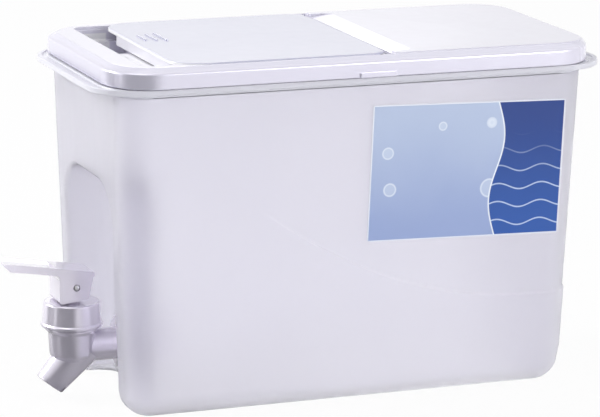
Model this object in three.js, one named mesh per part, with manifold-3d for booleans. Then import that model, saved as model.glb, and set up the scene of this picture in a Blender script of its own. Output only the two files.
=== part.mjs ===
// A fridge water jug: a frosted tank with a lift-off lid, a flip hatch in the lid and a lever tap in a niche.
// Millimetres. +Z is up, -X is the tap end and -Y the long side that carries the label.
// The origin is in the plane of the base, under the middle of the lid.
import * as THREE from "three";
import { mergeVertices } from "three/addons/utils/BufferGeometryUtils.js";
import Module from "manifold-3d";

const wasm = await Module();
wasm.setup();

// Fits that the pieces share
const fitGap = 0.3; // between two pieces that seat on each other
const overrun = 6; // how far a cut runs past the wall it opens
const weld = 0.001; // vertices closer than this are one

// Facets of round shapes
const cornerFacets = 8;
const roundFacets = 40;
const smallFacets = 20;
const edgeFacets = 4;

// Tank
const frontTaper = 6.4; // how far the tap end leans out from base to mouth
const rearTaper = 7.4;
const sideTaper = 4.5;
const baseCorner = 14;
const baseRound = 12.5;
const mouthFrontReach = 126.8; // from the origin to the tap end
const mouthRearReach = 126;
const mouthWidth = 127;
const mouthCorner = 16;
const tankWall = 2.2;
const floorThickness = 2.6;
const flangeUnderside = 167.4;
const flangeThickness = 3;
const flangeEdge = 0.9;
const flangeSide = 2;
const flangeCorner = 26;
const flangeFrontReach = 10.7;
const flangeRearReach = 13.2;
const neckHeight = 4.1;

// Niche in the tap end
const nicheFrontWidth = 78;
const nicheBackWidth = 72;
const nicheDepth = 19.9;
const nicheHeight = 117;
const nicheShoulder = 22;
const nicheBackCorner = 7;
const nicheFootRound = 6;

// Lid
const lidFrontOverhang = 4.2; // of the skirt past the tank's mouth
const lidRearOverhang = 5;
const lidSideOverhang = 5;
const lidCorner = 26;
const skirtThickness = 1.8;
const skirtClearance = 0.6;
const skirtHeight = 7.7;
const shoulderRise = 2.5;
const shoulderRun = 5;
const shoulderRearRun = 1.8;
const lidEdge = 0.8;
const plateauRise = 0.6;
const plateauInset = 0.4;
const lidGasketThickness = 1.6;
const plugClearance = 0.5;
const plugThickness = 1.6;
const plugDepth = 5.5;
const topThickness = 2.2;
const grabTabLength = 20;
const grabTabReach = 0.4;
const grabTabHeight = 2.2;
const grabTabOffset = 6.5;

// Bay that the hatch closes
const hatchLength = 114.5;
const hatchMargin = 6.5; // from the hatch's long side to the lid's
const hatchSetback = 33.5; // from the lid's tap end to the hatch
const hatchFrontCorner = 16;
const hatchRearCorner = 14;
const hatchThickness = 2;
const hatchProud = 0.6;
const hatchGap = 0.8;
const seatLedge = 3.8;
const recessLength = 16.5;
const bayCorner = 6;
const deckDepth = 7.2;
const deckThickness = 1.8;
const hatchSkirtThickness = 1.8;
const hatchFrontInset = 0.6;
const hatchSideInset = 4.6;
const fingerCutWidth = 22;
const wellDepth = 6;
const wellNearShare = 0.27; // the finger well's near end, as a share of the bay's half width
const pourFront = 20;
const pourLength = 78;
const pourMargin = 14;
const pourCorner = 14;
const collarThickness = 1.6;
const collarHeight = 3;
const gripRibCount = 3;
const gripRibPitch = 5;
const gripRibWidth = 1.6;
const gripRibHeight = 0.7;
const gripRibLength = 14;
const gripRibGrowth = 4;
const gripRibOffset = 14;
const gripRibSetback = 7;
const stripWidth = 17;
const stripMargin = 4;
const stripDepth = 2.2;
const stripCorner = 5;

// Hatch hinge
const barrelRadius = 3.2;
const barrelSetback = 12;
const hingePinRadius = 1;
const hingePinLength = 14;
const hingePinInBarrel = 7;
const hingeLugRadius = 1.9;
const hingeLugGap = 0.8;

// Tap
const tapReach = 32.5; // from the niche's back wall out to the barrel's axis
const shankHeight = 26.2;
const shankRadius = 8.4;
const shankThreadRadius = 7.9;
const shankBore = 5;
const shankLength = 49;
const tapFlangeRadius = 14.6;
const tapFlangeThickness = 4.2;
const tapFlangeChamfer = 1.2;
const outerWasherThickness = 3.1;
const outerWasherRadius = 13.4;
const innerWasherThickness = 1.8;
const innerWasherRadius = 12.4;
const washerBore = 8.3;
const nutThickness = 8;
const nutAcross = 24;
const nutFlangeRadius = 13.4;
const nutFlangeThickness = 1.6;
const barrelFoot = 14.5;
const barrelFootRadius = 8;
const barrelLowerRadius = 11.4;
const barrelLowerHeight = 22.6;
const barrelUpperRadius = 12.2;
const barrelUpperHeight = 34.4;
const barrelRimRadius = 14;
const barrelRimHeight = 37.1;
const neckRadius = 11.2;
const neckTop = 44.6;
const chamberRadius = 8.6;
const chamberFloor = 22.2;
const seatBore = 4.2;
const seatDepth = 6.2;
const spoutMouthReach = 12.2; // from the barrel's axis forward to the middle of the mouth
const spoutMouthHeight = 7.15;
const spoutLength = 26;
const spoutBoreLength = 14.5;
const spoutMouthRadius = 7.8;
const spoutRootRadius = 10.2;
const spoutBore = 5.6;
const spoutSlope = THREE.MathUtils.degToRad(47);
const spoutMouthTurn = THREE.MathUtils.degToRad(5.5);

// Bonnet
const bonnetBottom = 37.6;
const bonnetHeight = 12.9;
const bonnetBeadRadius = 16;
const bonnetBeadHeight = 1.6;
const bonnetLowerRadius = 15.4;
const bonnetTopRadius = 14.6;
const bonnetChamfer = 0.8;
const bonnetBore = 11.6;
const bonnetGasketThickness = 1.7;
const stemHole = 3.4;

// Valve
const stemRadius = 2.6;
const stemCollarRadius = 5.6;
const stemCollarThickness = 1.2;
const cupRadius = 7.2;
const cupHeight = 5.6;
const cupWall = 1.4;
const cupLip = 1;
const cupFloor = 1.3;
const springRadius = 4.5;
const springWire = 0.55;
const springTurns = 6;
const springStepsPerTurn = 12;
const tongueWidth = 4.6;
const tongueThickness = 4;
const tongueLength = 9.6; // from the pin's axis down to the round shaft
const tongueAbovePin = 3.7;

// Lever
const pinHeight = 59.1;
const leverPinRadius = 1.5;
const leverPinProud = 0.2;
const hubWidth = 18;
const hubFront = 9;
const hubRearTop = 8.9;
const hubRearFoot = 6.4;
const hubDepth = 8.3;
const hubRearLift = 2.1;
const hubSlotWidth = 4.6;
const hubSlotFront = 7.1;
const hubSlotRear = 4.2;
const hubSlotAbovePin = 4.6;
const leverRearRise = 7.7;
const leverLipReach = 0.6;
const leverLipHeight = 2.4;
const leverReach = 39.5;
const leverTipRise = 15.6;
const leverThickness = 3.9;
const leverTipBevel = 4.5;
const leverFlare = 0.8;
const leverFlareLength = 14;
const leverWaist = 0.8;

// Label
const labelWidth = 107;
const labelHeight = 71;
const labelThickness = 0.25;
const labelCorner = 1.5;
const labelGap = 0.1;
const labelX = 58.7;
const labelZ = 118.6;
const labelTurn = THREE.MathUtils.degToRad(1.5);

// Places and sizes that follow from those
const baseFrontReach = mouthFrontReach - frontTaper;
const baseRearReach = mouthRearReach - rearTaper;
const baseWidth = mouthWidth - 2 * sideTaper;
const flangeTop = flangeUnderside + flangeThickness;
const rimTop = flangeTop + neckHeight;
const lidUnderside = rimTop + fitGap + lidGasketThickness + fitGap;
const skirtBottom = flangeTop + skirtClearance;
const shoulderHeight = skirtBottom + skirtHeight;
const lidTop = shoulderHeight + shoulderRise;
const plateauTop = lidTop + plateauRise;
const hatchTop = lidTop + hatchProud;
const hatchUnderside = hatchTop - hatchThickness;
const seatTop = hatchUnderside - fitGap;
const deckTop = lidTop - deckDepth;
const deckUnderside = deckTop - deckThickness;
const lidFront = -mouthFrontReach - lidFrontOverhang;
const lidRear = mouthRearReach + lidRearOverhang;
const lidWidth = mouthWidth + 2 * lidSideOverhang;
const hatchFront = lidFront + hatchSetback;
const hatchRear = hatchFront + hatchLength;
const hatchWidth = lidWidth - 2 * hatchMargin;
const pourWidth = hatchWidth - 2 * pourMargin;
const stripLength = hatchWidth - 2 * stripMargin;
const barrelLength = hatchWidth - 2 * barrelSetback;
const hingeX = hatchRear - barrelRadius;
const hingeZ = hatchTop - barrelRadius;
const bayFront = hatchFront - recessLength;
const bayRear = hatchRear + hatchGap;
const bayHalfWidth = hatchWidth / 2 - seatLedge;
const nicheBack = nicheDepth - baseFrontReach;
const nicheInnerFace = nicheBack + tankWall;
const nicheMouth = -Math.max(baseFrontReach, mouthFrontReach) - overrun;
const tapX = nicheBack - tapReach;
const bonnetTop = bonnetBottom + bonnetHeight;
const bonnetPlate = neckTop + fitGap + bonnetGasketThickness + fitGap;

// Share of the way up the tank's sloping walls at a height
const riseShare = (z) => Math.min(z, flangeUnderside) / flangeUnderside;
const frontReachAt = (z) => baseFrontReach + (mouthFrontReach - baseFrontReach) * riseShare(z);
const rearReachAt = (z) => baseRearReach + (mouthRearReach - baseRearReach) * riseShare(z);
const halfWidthAt = (z) => (baseWidth + (mouthWidth - baseWidth) * riseShare(z)) / 2;
const cornerAt = (z) => baseCorner + (mouthCorner - baseCorner) * riseShare(z);

// Outlines and skins

// Points of a rectangle with round corners, anticlockwise. The front corners are those at the low x end.
function roundedRectangle({ low, high, halfWidth, frontCorner, rearCorner = frontCorner }) {
  const corners = [
    [high - rearCorner, -halfWidth + rearCorner, rearCorner, -Math.PI / 2],
    [high - rearCorner, halfWidth - rearCorner, rearCorner, 0],
    [low + frontCorner, halfWidth - frontCorner, frontCorner, Math.PI / 2],
    [low + frontCorner, -halfWidth + frontCorner, frontCorner, Math.PI],
  ];
  const points = [];
  for (const [x, y, radius, start] of corners) {
    for (let i = 0; i <= cornerFacets; i += 1) {
      const angle = start + (i / cornerFacets) * (Math.PI / 2);
      points.push(new THREE.Vector2(x + radius * Math.cos(angle), y + radius * Math.sin(angle)));
    }
  }
  return points;
}

// The same rectangle with every side moved in by an inset.
function insetRectangle(outline, inset) {
  const { low, high, halfWidth, frontCorner, rearCorner = frontCorner } = outline;
  return {
    low: low + inset,
    high: high - inset,
    halfWidth: halfWidth - inset,
    frontCorner: Math.max(frontCorner - inset, fitGap),
    rearCorner: Math.max(rearCorner - inset, fitGap),
  };
}

const levelRing = (outline, z) => roundedRectangle(outline).map((p) => new THREE.Vector3(p.x, p.y, z));

// A closed skin over convex rings that all have the same number of points.
function skin(rings) {
  const count = rings[0].length;
  const positions = rings.flat().flatMap((p) => [p.x, p.y, p.z]);
  const index = [];
  for (let r = 0; r + 1 < rings.length; r += 1) {
    for (let i = 0; i < count; i += 1) {
      const a = r * count + i;
      const b = r * count + ((i + 1) % count);
      index.push(a, b, b + count, a, b + count, a + count);
    }
  }
  const top = (rings.length - 1) * count;
  for (let i = 1; i + 1 < count; i += 1) {
    index.push(0, i + 1, i);
    index.push(top, top + i, top + i + 1);
  }
  const geometry = new THREE.BufferGeometry();
  geometry.setAttribute("position", new THREE.Float32BufferAttribute(positions, 3));
  geometry.setIndex(index);
  return geometry;
}

// Solids

function toSolid(geometry) {
  const bare = geometry.clone();
  bare.deleteAttribute("normal");
  bare.deleteAttribute("uv");
  const merged = mergeVertices(bare, weld);
  const index = merged.index.array;
  const triangles = [];
  for (let i = 0; i < index.length; i += 3) {
    const [a, b, c] = [index[i], index[i + 1], index[i + 2]];
    if (a !== b && b !== c && c !== a) triangles.push(a, b, c);
  }
  const vertProperties = merged.attributes.position.array;
  const triVerts = new Uint32Array(triangles);
  return new wasm.Manifold(new wasm.Mesh({ numProp: 3, vertProperties, triVerts }));
}

function toGeometry(solid) {
  const { vertProperties, triVerts } = solid.getMesh();
  const indexed = new THREE.BufferGeometry();
  indexed.setAttribute("position", new THREE.BufferAttribute(vertProperties, 3));
  indexed.setIndex(new THREE.BufferAttribute(triVerts, 1));
  const geometry = indexed.toNonIndexed();
  geometry.computeVertexNormals();
  return geometry;
}

const slab = (outline, low, high) => toSolid(skin([levelRing(outline, low), levelRing(outline, high)]));

// A slab whose upper and lower edges are eased.
function easedSlab(outline, low, high, edge) {
  const eased = insetRectangle(outline, edge);
  return toSolid(
    skin([
      levelRing(eased, low),
      levelRing(outline, low + edge),
      levelRing(outline, high - edge),
      levelRing(eased, high),
    ]),
  );
}

function box(lowCorner, highCorner) {
  const size = new THREE.Vector3().subVectors(highCorner, lowCorner);
  const centre = new THREE.Vector3().addVectors(lowCorner, highCorner).multiplyScalar(0.5);
  return toSolid(new THREE.BoxGeometry(size.x, size.y, size.z).translate(centre.x, centre.y, centre.z));
}

const blockOf = (x0, x1, y0, y1, z0, z1) => box(new THREE.Vector3(x0, y0, z0), new THREE.Vector3(x1, y1, z1));

// A solid of revolution about the vertical through (x, 0). Its [radius, height] pairs start and end on the axis.
function turned(profile, x, facets = roundFacets) {
  const points = profile.map(([radius, height]) => new THREE.Vector2(radius, height));
  return toSolid(new THREE.LatheGeometry(points, facets).rotateX(Math.PI / 2).translate(x, 0, 0));
}

// The same about the shank's level axis, from [radius, x] pairs.
function turnedAlongX(profile, facets = roundFacets) {
  const points = profile.map(([radius, along]) => new THREE.Vector2(radius, along));
  return toSolid(new THREE.LatheGeometry(points, facets).rotateZ(-Math.PI / 2).translate(0, 0, shankHeight));
}

const rod = (radius, from, to) => [[0, from], [radius, from], [radius, to], [0, to]];

// A rod along Y.
function crossRod(radius, x, z, fromY, toY, facets = smallFacets) {
  const length = toY - fromY;
  return toSolid(new THREE.CylinderGeometry(radius, radius, length, facets).translate(x, (fromY + toY) / 2, z));
}

// A flat outline of [x, z] pairs given a width along Y.
function plateAcross(outline, width) {
  const shape = new THREE.Shape(outline.map(([x, z]) => new THREE.Vector2(x, z)));
  const geometry = new THREE.ExtrudeGeometry(shape, { depth: width, bevelEnabled: false });
  return toSolid(geometry.rotateX(Math.PI / 2).translate(0, width / 2, 0));
}

// Materials
const plastic = (color, roughness) => new THREE.MeshStandardMaterial({ color, roughness, metalness: 0 });
const frosted = plastic(0xdad9ea, 0.45);
const whiteLid = plastic(0xe8e6f2, 0.35);
const whiteTap = plastic(0xe4e2ea, 0.2);
const silicone = plastic(0xf2f2f0, 0.6);
const rubber = plastic(0xd6d4d2, 0.7);
const paper = plastic(0x9fb6e0, 0.3);
const steel = new THREE.MeshStandardMaterial({ color: 0xc9c9cc, roughness: 0.25, metalness: 1 });

function piece(name, solid, material) {
  const mesh = new THREE.Mesh(toGeometry(solid), material);
  mesh.name = name;
  return mesh;
}

// Tank

// Rings of the tank's outer or inner wall: a round bottom edge and walls that spread towards the mouth.
function tankSkin(inset, floor, round, top) {
  const rings = [];
  const outlineAt = (z, extra) =>
    insetRectangle(
      { low: -frontReachAt(z), high: rearReachAt(z), halfWidth: halfWidthAt(z), frontCorner: cornerAt(z) },
      inset + extra,
    );
  for (let i = 0; i <= cornerFacets; i += 1) {
    const angle = (i / cornerFacets) * (Math.PI / 2);
    const z = floor + round * (1 - Math.cos(angle));
    rings.push(levelRing(outlineAt(z, round * (1 - Math.sin(angle))), z));
  }
  rings.push(levelRing(outlineAt(flangeUnderside, 0), flangeUnderside));
  rings.push(levelRing(outlineAt(flangeUnderside, 0), top));
  return toSolid(skin(rings));
}

// The niche narrows towards its back wall.
function nicheHalfWidthAt(x) {
  const frontX = -frontReachAt(nicheHeight);
  const share = (x - frontX) / (nicheBack - frontX);
  return (nicheFrontWidth + (nicheBackWidth - nicheFrontWidth) * share) / 2;
}

// One station of the niche: an opening with a flat top and round shoulders, cut square below the base.
function nicheRing(x, grow, inset) {
  const halfWidth = nicheHalfWidthAt(x) + grow - inset;
  const top = nicheHeight + grow - inset;
  const shoulder = nicheShoulder + grow - inset;
  const points = [new THREE.Vector3(x, halfWidth, -overrun), new THREE.Vector3(x, -halfWidth, -overrun)];
  for (const [side, start] of [[-1, Math.PI], [1, Math.PI / 2]]) {
    for (let i = 0; i <= cornerFacets; i += 1) {
      const angle = start - (i / cornerFacets) * (Math.PI / 2);
      const y = side * (halfWidth - shoulder) + shoulder * Math.cos(angle);
      points.push(new THREE.Vector3(x, y, top - shoulder + shoulder * Math.sin(angle)));
    }
  }
  return points.reverse();
}

// The niche's space, grown by a wall where it is cut out of the tank's inside.
function nicheSpace(grow) {
  const back = nicheBack + grow;
  const round = nicheBackCorner + grow;
  const rings = [nicheRing(nicheMouth, grow, 0)];
  for (let i = 0; i <= edgeFacets; i += 1) {
    const angle = (i / edgeFacets) * (Math.PI / 2);
    rings.push(nicheRing(back - round * (1 - Math.sin(angle)), grow, round * (1 - Math.cos(angle))));
  }
  return toSolid(skin(rings)).add(nicheFoot(grow));
}

// The niche's lower edges are round: there its space widens towards the base.
function nicheFoot(grow) {
  const rings = [];
  const outlineAt = (spread) => ({
    low: nicheMouth,
    high: nicheBack + spread,
    halfWidth: nicheBackWidth / 2 + spread,
    frontCorner: fitGap,
    rearCorner: nicheBackCorner + spread,
  });
  const round = nicheFootRound - grow;
  for (let i = 0; i <= edgeFacets; i += 1) {
    const angle = (i / edgeFacets) * (Math.PI / 2);
    const spread = nicheFootRound - round * Math.sin(angle);
    rings.push(levelRing(outlineAt(spread), nicheFootRound - round * Math.cos(angle)));
  }
  rings.unshift(levelRing(outlineAt(nicheFootRound), -overrun));
  for (const point of rings.flat()) point.y *= nicheHalfWidthAt(point.x) / nicheHalfWidthAt(nicheBack);
  return toSolid(skin(rings));
}

function makeTank() {
  const flangeOutline = {
    low: -mouthFrontReach - flangeFrontReach,
    high: mouthRearReach + flangeRearReach,
    halfWidth: mouthWidth / 2 + flangeSide,
    frontCorner: flangeCorner,
  };
  const outside = tankSkin(0, 0, baseRound, rimTop)
    .subtract(nicheSpace(0))
    .add(easedSlab(flangeOutline, flangeUnderside, flangeTop, flangeEdge));
  const hollow = tankSkin(tankWall, floorThickness, baseRound - tankWall, rimTop + overrun);
  const inside = hollow.subtract(nicheSpace(tankWall));
  const shankHole = turnedAlongX(rod(washerBore, nicheBack - overrun, nicheInnerFace + overrun));
  return piece("tank", outside.subtract(inside).subtract(shankHole), frosted);
}

// Lid frame

const lidOutline = { low: lidFront, high: lidRear, halfWidth: lidWidth / 2, frontCorner: lidCorner };
const mouthInside = {
  low: -mouthFrontReach + tankWall,
  high: mouthRearReach - tankWall,
  halfWidth: mouthWidth / 2 - tankWall,
  frontCorner: mouthCorner - tankWall,
};
const plugOutline = insetRectangle(mouthInside, plugClearance);
const plugInside = insetRectangle(plugOutline, plugThickness);
const bayOutline = {
  low: bayFront,
  high: bayRear,
  halfWidth: bayHalfWidth,
  frontCorner: bayCorner,
  rearCorner: hatchGap,
};
const pourOutline = {
  low: hatchFront + pourFront,
  high: hatchFront + pourFront + pourLength,
  halfWidth: pourWidth / 2,
  frontCorner: pourCorner,
};

// The skirt with its sloping shoulder and flat top.
function lidShell() {
  const shoulderTop = { ...insetRectangle(lidOutline, shoulderRun), high: lidOutline.high - shoulderRearRun };
  const solid = toSolid(
    skin([
      levelRing(lidOutline, skirtBottom),
      levelRing(lidOutline, shoulderHeight - lidEdge),
      levelRing(insetRectangle(lidOutline, lidEdge), shoulderHeight),
      levelRing(insetRectangle(shoulderTop, -lidEdge), lidTop - lidEdge / 2),
      levelRing(shoulderTop, lidTop),
    ]),
  );
  const hollow = slab(insetRectangle(lidOutline, skirtThickness), skirtBottom - overrun, lidUnderside);
  return solid.subtract(hollow);
}

// The raised plate behind the hatch.
function plateau() {
  const outline = {
    low: bayRear,
    high: lidRear - shoulderRearRun - plateauInset,
    halfWidth: lidWidth / 2 - shoulderRun - plateauInset,
    frontCorner: hatchGap,
    rearCorner: lidCorner - shoulderRun - plateauInset,
  };
  return toSolid(
    skin([
      levelRing(outline, lidTop - topThickness / 2),
      levelRing(outline, lidTop),
      levelRing(insetRectangle(outline, plateauRise), plateauTop),
    ]),
  );
}

// The wall that plugs the tank's mouth.
function plugRing() {
  const outer = slab(plugOutline, lidUnderside - plugDepth, lidUnderside + topThickness / 2);
  return outer.subtract(slab(plugInside, lidUnderside - plugDepth - overrun, lidUnderside));
}

// Deck under the hatch, with a collar round the pouring hole.
function deckBlock() {
  return slab(insetRectangle(bayOutline, -deckThickness), deckUnderside, lidUnderside + topThickness / 2);
}

function pourCollar() {
  const outline = insetRectangle(pourOutline, -collarThickness);
  const outer = slab(outline, deckTop - deckThickness / 2, deckTop + collarHeight);
  return outer.subtract(slab(pourOutline, deckTop - overrun, deckTop + overrun));
}

// Finger well in the far part of the recess in front of the hatch.
const wellBox = {
  x0: bayFront + bayCorner / 2,
  x1: hatchFront + pourFront / 2,
  y0: bayHalfWidth * wellNearShare,
  y1: bayHalfWidth - bayCorner,
};

function wellBlock() {
  const { x0, x1, y0, y1 } = wellBox;
  const wall = deckThickness;
  return blockOf(x0 - wall, x1 + wall, y0 - wall, y1 + wall, deckTop - wellDepth - wall, deckTop - wall / 2);
}

function wellSpace() {
  const { x0, x1, y0, y1 } = wellBox;
  return blockOf(x0, x1, y0, y1, deckTop - wellDepth, deckTop + overrun);
}

// Sunk strip behind the hatch, which slopes up to the plateau.
function stripSpace() {
  const outline = {
    low: bayRear - fitGap,
    high: bayRear + stripWidth,
    halfWidth: stripLength / 2,
    frontCorner: fitGap / 2,
    rearCorner: stripCorner,
  };
  const rings = [plateauTop - stripDepth, plateauTop + overrun].map((z) => levelRing(outline, z));
  for (const point of rings[0]) point.z += (stripDepth * Math.max(point.x - bayRear, 0)) / stripWidth;
  return toSolid(skin(rings));
}

// Pull tab under the middle of a long side's skirt.
function grabTab(side) {
  const y = side * (lidWidth / 2 - skirtThickness);
  const reach = side * (lidWidth / 2 + grabTabReach);
  return blockOf(
    grabTabOffset - grabTabLength / 2,
    grabTabOffset + grabTabLength / 2,
    Math.min(y, reach),
    Math.max(y, reach),
    skirtBottom + fitGap,
    skirtBottom + grabTabHeight,
  );
}

function makeLidFrame() {
  const seat = {
    low: hatchFront - hatchGap,
    high: bayRear,
    halfWidth: hatchWidth / 2 + hatchGap,
    frontCorner: hatchFrontCorner,
    rearCorner: hatchGap,
  };
  const rearHollow = {
    low: bayRear + stripWidth / 2,
    high: plugInside.high,
    halfWidth: plugInside.halfWidth,
    frontCorner: hatchGap,
    rearCorner: plugInside.frontCorner,
  };
  let frame = lidShell().add(plateau()).add(plugRing()).add(deckBlock()).add(wellBlock());
  frame = frame.subtract(slab(seat, seatTop, hatchTop + overrun));
  frame = frame.subtract(slab(bayOutline, deckTop, hatchTop + overrun));
  const sweepFloor = hingeZ - barrelRadius + hatchThickness;
  const sweepTop = hatchTop + overrun;
  frame = frame.subtract(blockOf(hingeX, bayRear, -seat.halfWidth, seat.halfWidth, sweepFloor, sweepTop));
  frame = frame.add(pourCollar()).subtract(slab(pourOutline, deckUnderside - overrun, deckTop + overrun));
  frame = frame.subtract(wellSpace());
  frame = frame.subtract(slab(rearHollow, lidUnderside - overrun, lidTop - topThickness));
  frame = frame.subtract(stripSpace());
  for (const side of [-1, 1]) {
    frame = frame.add(grabTab(side)).add(hingeLug(side)).subtract(hingePinRod(side, fitGap));
  }
  return piece("lid_frame", frame, whiteLid);
}

// Lug that carries a hinge pin, under the hatch's rear corner.
function hingeLug(side) {
  const inner = side * (barrelLength / 2 + hingeLugGap);
  const outer = side * (bayHalfWidth + deckThickness / 2);
  const [low, high] = [Math.min(inner, outer), Math.max(inner, outer)];
  const foot = deckTop - deckThickness / 2;
  const web = blockOf(hingeX - hingeLugRadius, hingeX + hingeLugRadius, low, high, foot, hingeZ);
  return web.add(crossRod(hingeLugRadius, hingeX, hingeZ, low, high));
}

function makeLidGasket() {
  const outer = insetRectangle(mouthInside, -tankWall);
  const low = rimTop + fitGap;
  const ring = slab(outer, low, low + lidGasketThickness);
  return piece("lid_gasket", ring.subtract(slab(mouthInside, low - overrun, low + overrun)), silicone);
}

// Hatch

// One of the two short pins that carry the hatch, grown by a clearance where its neighbours are cut.
function hingePinRod(side, grow) {
  const inner = side * (barrelLength / 2 - hingePinInBarrel - grow);
  const outer = side * (barrelLength / 2 - hingePinInBarrel + hingePinLength + grow);
  return crossRod(hingePinRadius + grow, hingeX, hingeZ, Math.min(inner, outer), Math.max(inner, outer));
}

const hatchOutline = {
  low: hatchFront,
  high: hatchRear,
  halfWidth: hatchWidth / 2,
  frontCorner: hatchFrontCorner,
  rearCorner: hatchRearCorner,
};

// The plate, cut square at the hinge's axis, closed there by the barrel and thinned over the hinge's lugs.
function hatchPlate() {
  const wide = hatchWidth;
  const plate = easedSlab(hatchOutline, hatchUnderside, hatchTop, hatchThickness / 4);
  const behind = blockOf(hingeX, hatchRear + overrun, -wide, wide, hatchUnderside - overrun, hatchTop + overrun);
  const lugTop = hingeZ + hingeLugRadius + fitGap;
  const overLugs = blockOf(hingeX - hingeLugRadius - hingeLugGap, hatchRear + overrun, -wide, wide, hingeZ, lugTop);
  const barrel = crossRod(barrelRadius, hingeX, hingeZ, -barrelLength / 2, barrelLength / 2);
  return plate.subtract(behind).subtract(overLugs).add(barrel);
}

// The wall under the plate, open at the finger well.
function hatchSkirt() {
  const outer = {
    low: hatchFront + hatchFrontInset,
    high: hingeX - barrelRadius - hatchGap,
    halfWidth: hatchWidth / 2 - hatchSideInset,
    frontCorner: hatchFrontCorner,
    rearCorner: hatchGap,
  };
  const bottom = deckTop + fitGap * 2;
  const wall = slab(outer, bottom, hatchUnderside + hatchThickness / 2);
  const inner = insetRectangle(outer, hatchSkirtThickness);
  const hollow = slab(inner, bottom - overrun, hatchUnderside + hatchThickness);
  const far = bayHalfWidth;
  const fingerCut = blockOf(
    hatchFront - overrun,
    outer.low + hatchSkirtThickness + overrun,
    far - fingerCutWidth,
    far + overrun,
    bottom - overrun,
    hatchUnderside,
  );
  return wall.subtract(hollow).subtract(fingerCut);
}

// Low ribs that grow longer away from the front edge.
function gripRib(i) {
  const x = hatchFront + gripRibSetback + i * gripRibPitch;
  const length = gripRibLength + i * gripRibGrowth;
  return blockOf(
    x - gripRibWidth / 2,
    x + gripRibWidth / 2,
    gripRibOffset - length / 2,
    gripRibOffset + length / 2,
    hatchTop - hatchThickness / 2,
    hatchTop + gripRibHeight,
  );
}

function makeHatch() {
  let hatch = hatchPlate().add(hatchSkirt());
  for (let i = 0; i < gripRibCount; i += 1) hatch = hatch.add(gripRib(i));
  for (const side of [-1, 1]) hatch = hatch.subtract(hingePinRod(side, fitGap));
  return piece("flip_hatch", hatch, whiteLid);
}

function makeHatchSeal() {
  const low = deckTop + collarHeight + fitGap;
  const outer = insetRectangle(pourOutline, -collarThickness - fitGap);
  const ring = slab(outer, low, hatchUnderside - fitGap);
  return piece("hatch_seal", ring.subtract(slab(pourOutline, low - overrun, hatchTop)), silicone);
}

// Tap body

// A ring round the spout's axis, a distance behind the middle of its mouth. Its plane is turned from square.
function spoutRing(radius, behind, turn) {
  const middle = new THREE.Vector3(
    tapX - spoutMouthReach + behind * Math.cos(spoutSlope),
    0,
    spoutMouthHeight + behind * Math.sin(spoutSlope),
  );
  const lean = spoutSlope + turn;
  const along = new THREE.Vector3(Math.sin(lean), 0, -Math.cos(lean));
  const stretch = radius / Math.cos(turn);
  const points = [];
  for (let i = 0; i < roundFacets; i += 1) {
    const angle = (i / roundFacets) * 2 * Math.PI;
    const point = middle.clone().addScaledVector(along, stretch * Math.cos(angle));
    point.y = radius * Math.sin(angle);
    points.push(point);
  }
  return points;
}

const spoutCone = (mouthRadius, rootRadius, from, to, turn) =>
  toSolid(skin([spoutRing(mouthRadius, from, turn), spoutRing(rootRadius, to, 0)]));

function makeTapBody() {
  const barrel = turned(
    [
      [0, barrelFoot],
      [barrelFootRadius * Math.SQRT1_2, barrelFoot],
      [barrelFootRadius, (barrelFoot + barrelLowerHeight) / 2],
      [barrelLowerRadius, barrelLowerHeight],
      [barrelUpperRadius, barrelUpperHeight],
      [barrelRimRadius, barrelRimHeight - bonnetChamfer],
      [barrelRimRadius, barrelRimHeight],
      [neckRadius, barrelRimHeight],
      [neckRadius, neckTop],
      [0, neckTop],
    ],
    tapX,
  );
  const flangeFace = nicheBack - 2 * fitGap - outerWasherThickness - tapFlangeThickness;
  const shankEnd = tapX + shankLength;
  const shank = turnedAlongX([
    [0, tapX],
    [shankRadius, tapX],
    [shankRadius, flangeFace],
    [tapFlangeRadius - tapFlangeChamfer, flangeFace],
    [tapFlangeRadius, flangeFace + tapFlangeChamfer],
    [tapFlangeRadius, flangeFace + tapFlangeThickness],
    [shankThreadRadius, flangeFace + tapFlangeThickness],
    [shankThreadRadius, shankEnd],
    [0, shankEnd],
  ]);
  const spout = spoutCone(spoutMouthRadius, spoutRootRadius, 0, spoutLength, spoutMouthTurn);
  const chamber = turned(rod(chamberRadius, chamberFloor, neckTop + overrun), tapX);
  const seat = turned(rod(seatBore, chamberFloor - seatDepth, chamberFloor + overrun), tapX, smallFacets);
  const inlet = turnedAlongX(rod(shankBore, tapX, shankEnd + overrun), smallFacets);
  const outlet = spoutCone(spoutBore, seatBore, -overrun, spoutBoreLength, 0);
  const body = barrel.add(shank).add(spout).subtract(chamber).subtract(seat).subtract(inlet).subtract(outlet);
  return piece("tap_body", body, whiteTap);
}

// Tap fixings

const ringAlongX = (inner, outer, from, to) =>
  turnedAlongX([[inner, from], [outer, from], [outer, to], [inner, to], [inner, from]]);

function makeOuterWasher() {
  const to = nicheBack - fitGap;
  const ring = ringAlongX(washerBore, outerWasherRadius, to - outerWasherThickness, to);
  return piece("outer_washer", ring, silicone);
}

function makeInnerWasher() {
  const from = nicheInnerFace + fitGap;
  const ring = ringAlongX(washerBore, innerWasherRadius, from, from + innerWasherThickness);
  return piece("inner_washer", ring, silicone);
}

function makeLockNut() {
  const from = nicheInnerFace + 2 * fitGap + innerWasherThickness;
  const sides = 6;
  const cornerRadius = nutAcross / 2 / Math.cos(Math.PI / sides);
  const flange = turnedAlongX(rod(nutFlangeRadius, from, from + nutFlangeThickness));
  const hexagon = turnedAlongX(rod(cornerRadius, from + nutFlangeThickness / 2, from + nutThickness), sides);
  const bore = turnedAlongX(rod(washerBore, from - overrun, from + nutThickness + overrun));
  return piece("lock_nut", flange.add(hexagon).subtract(bore), whiteTap);
}

// Bonnet and valve

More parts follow.
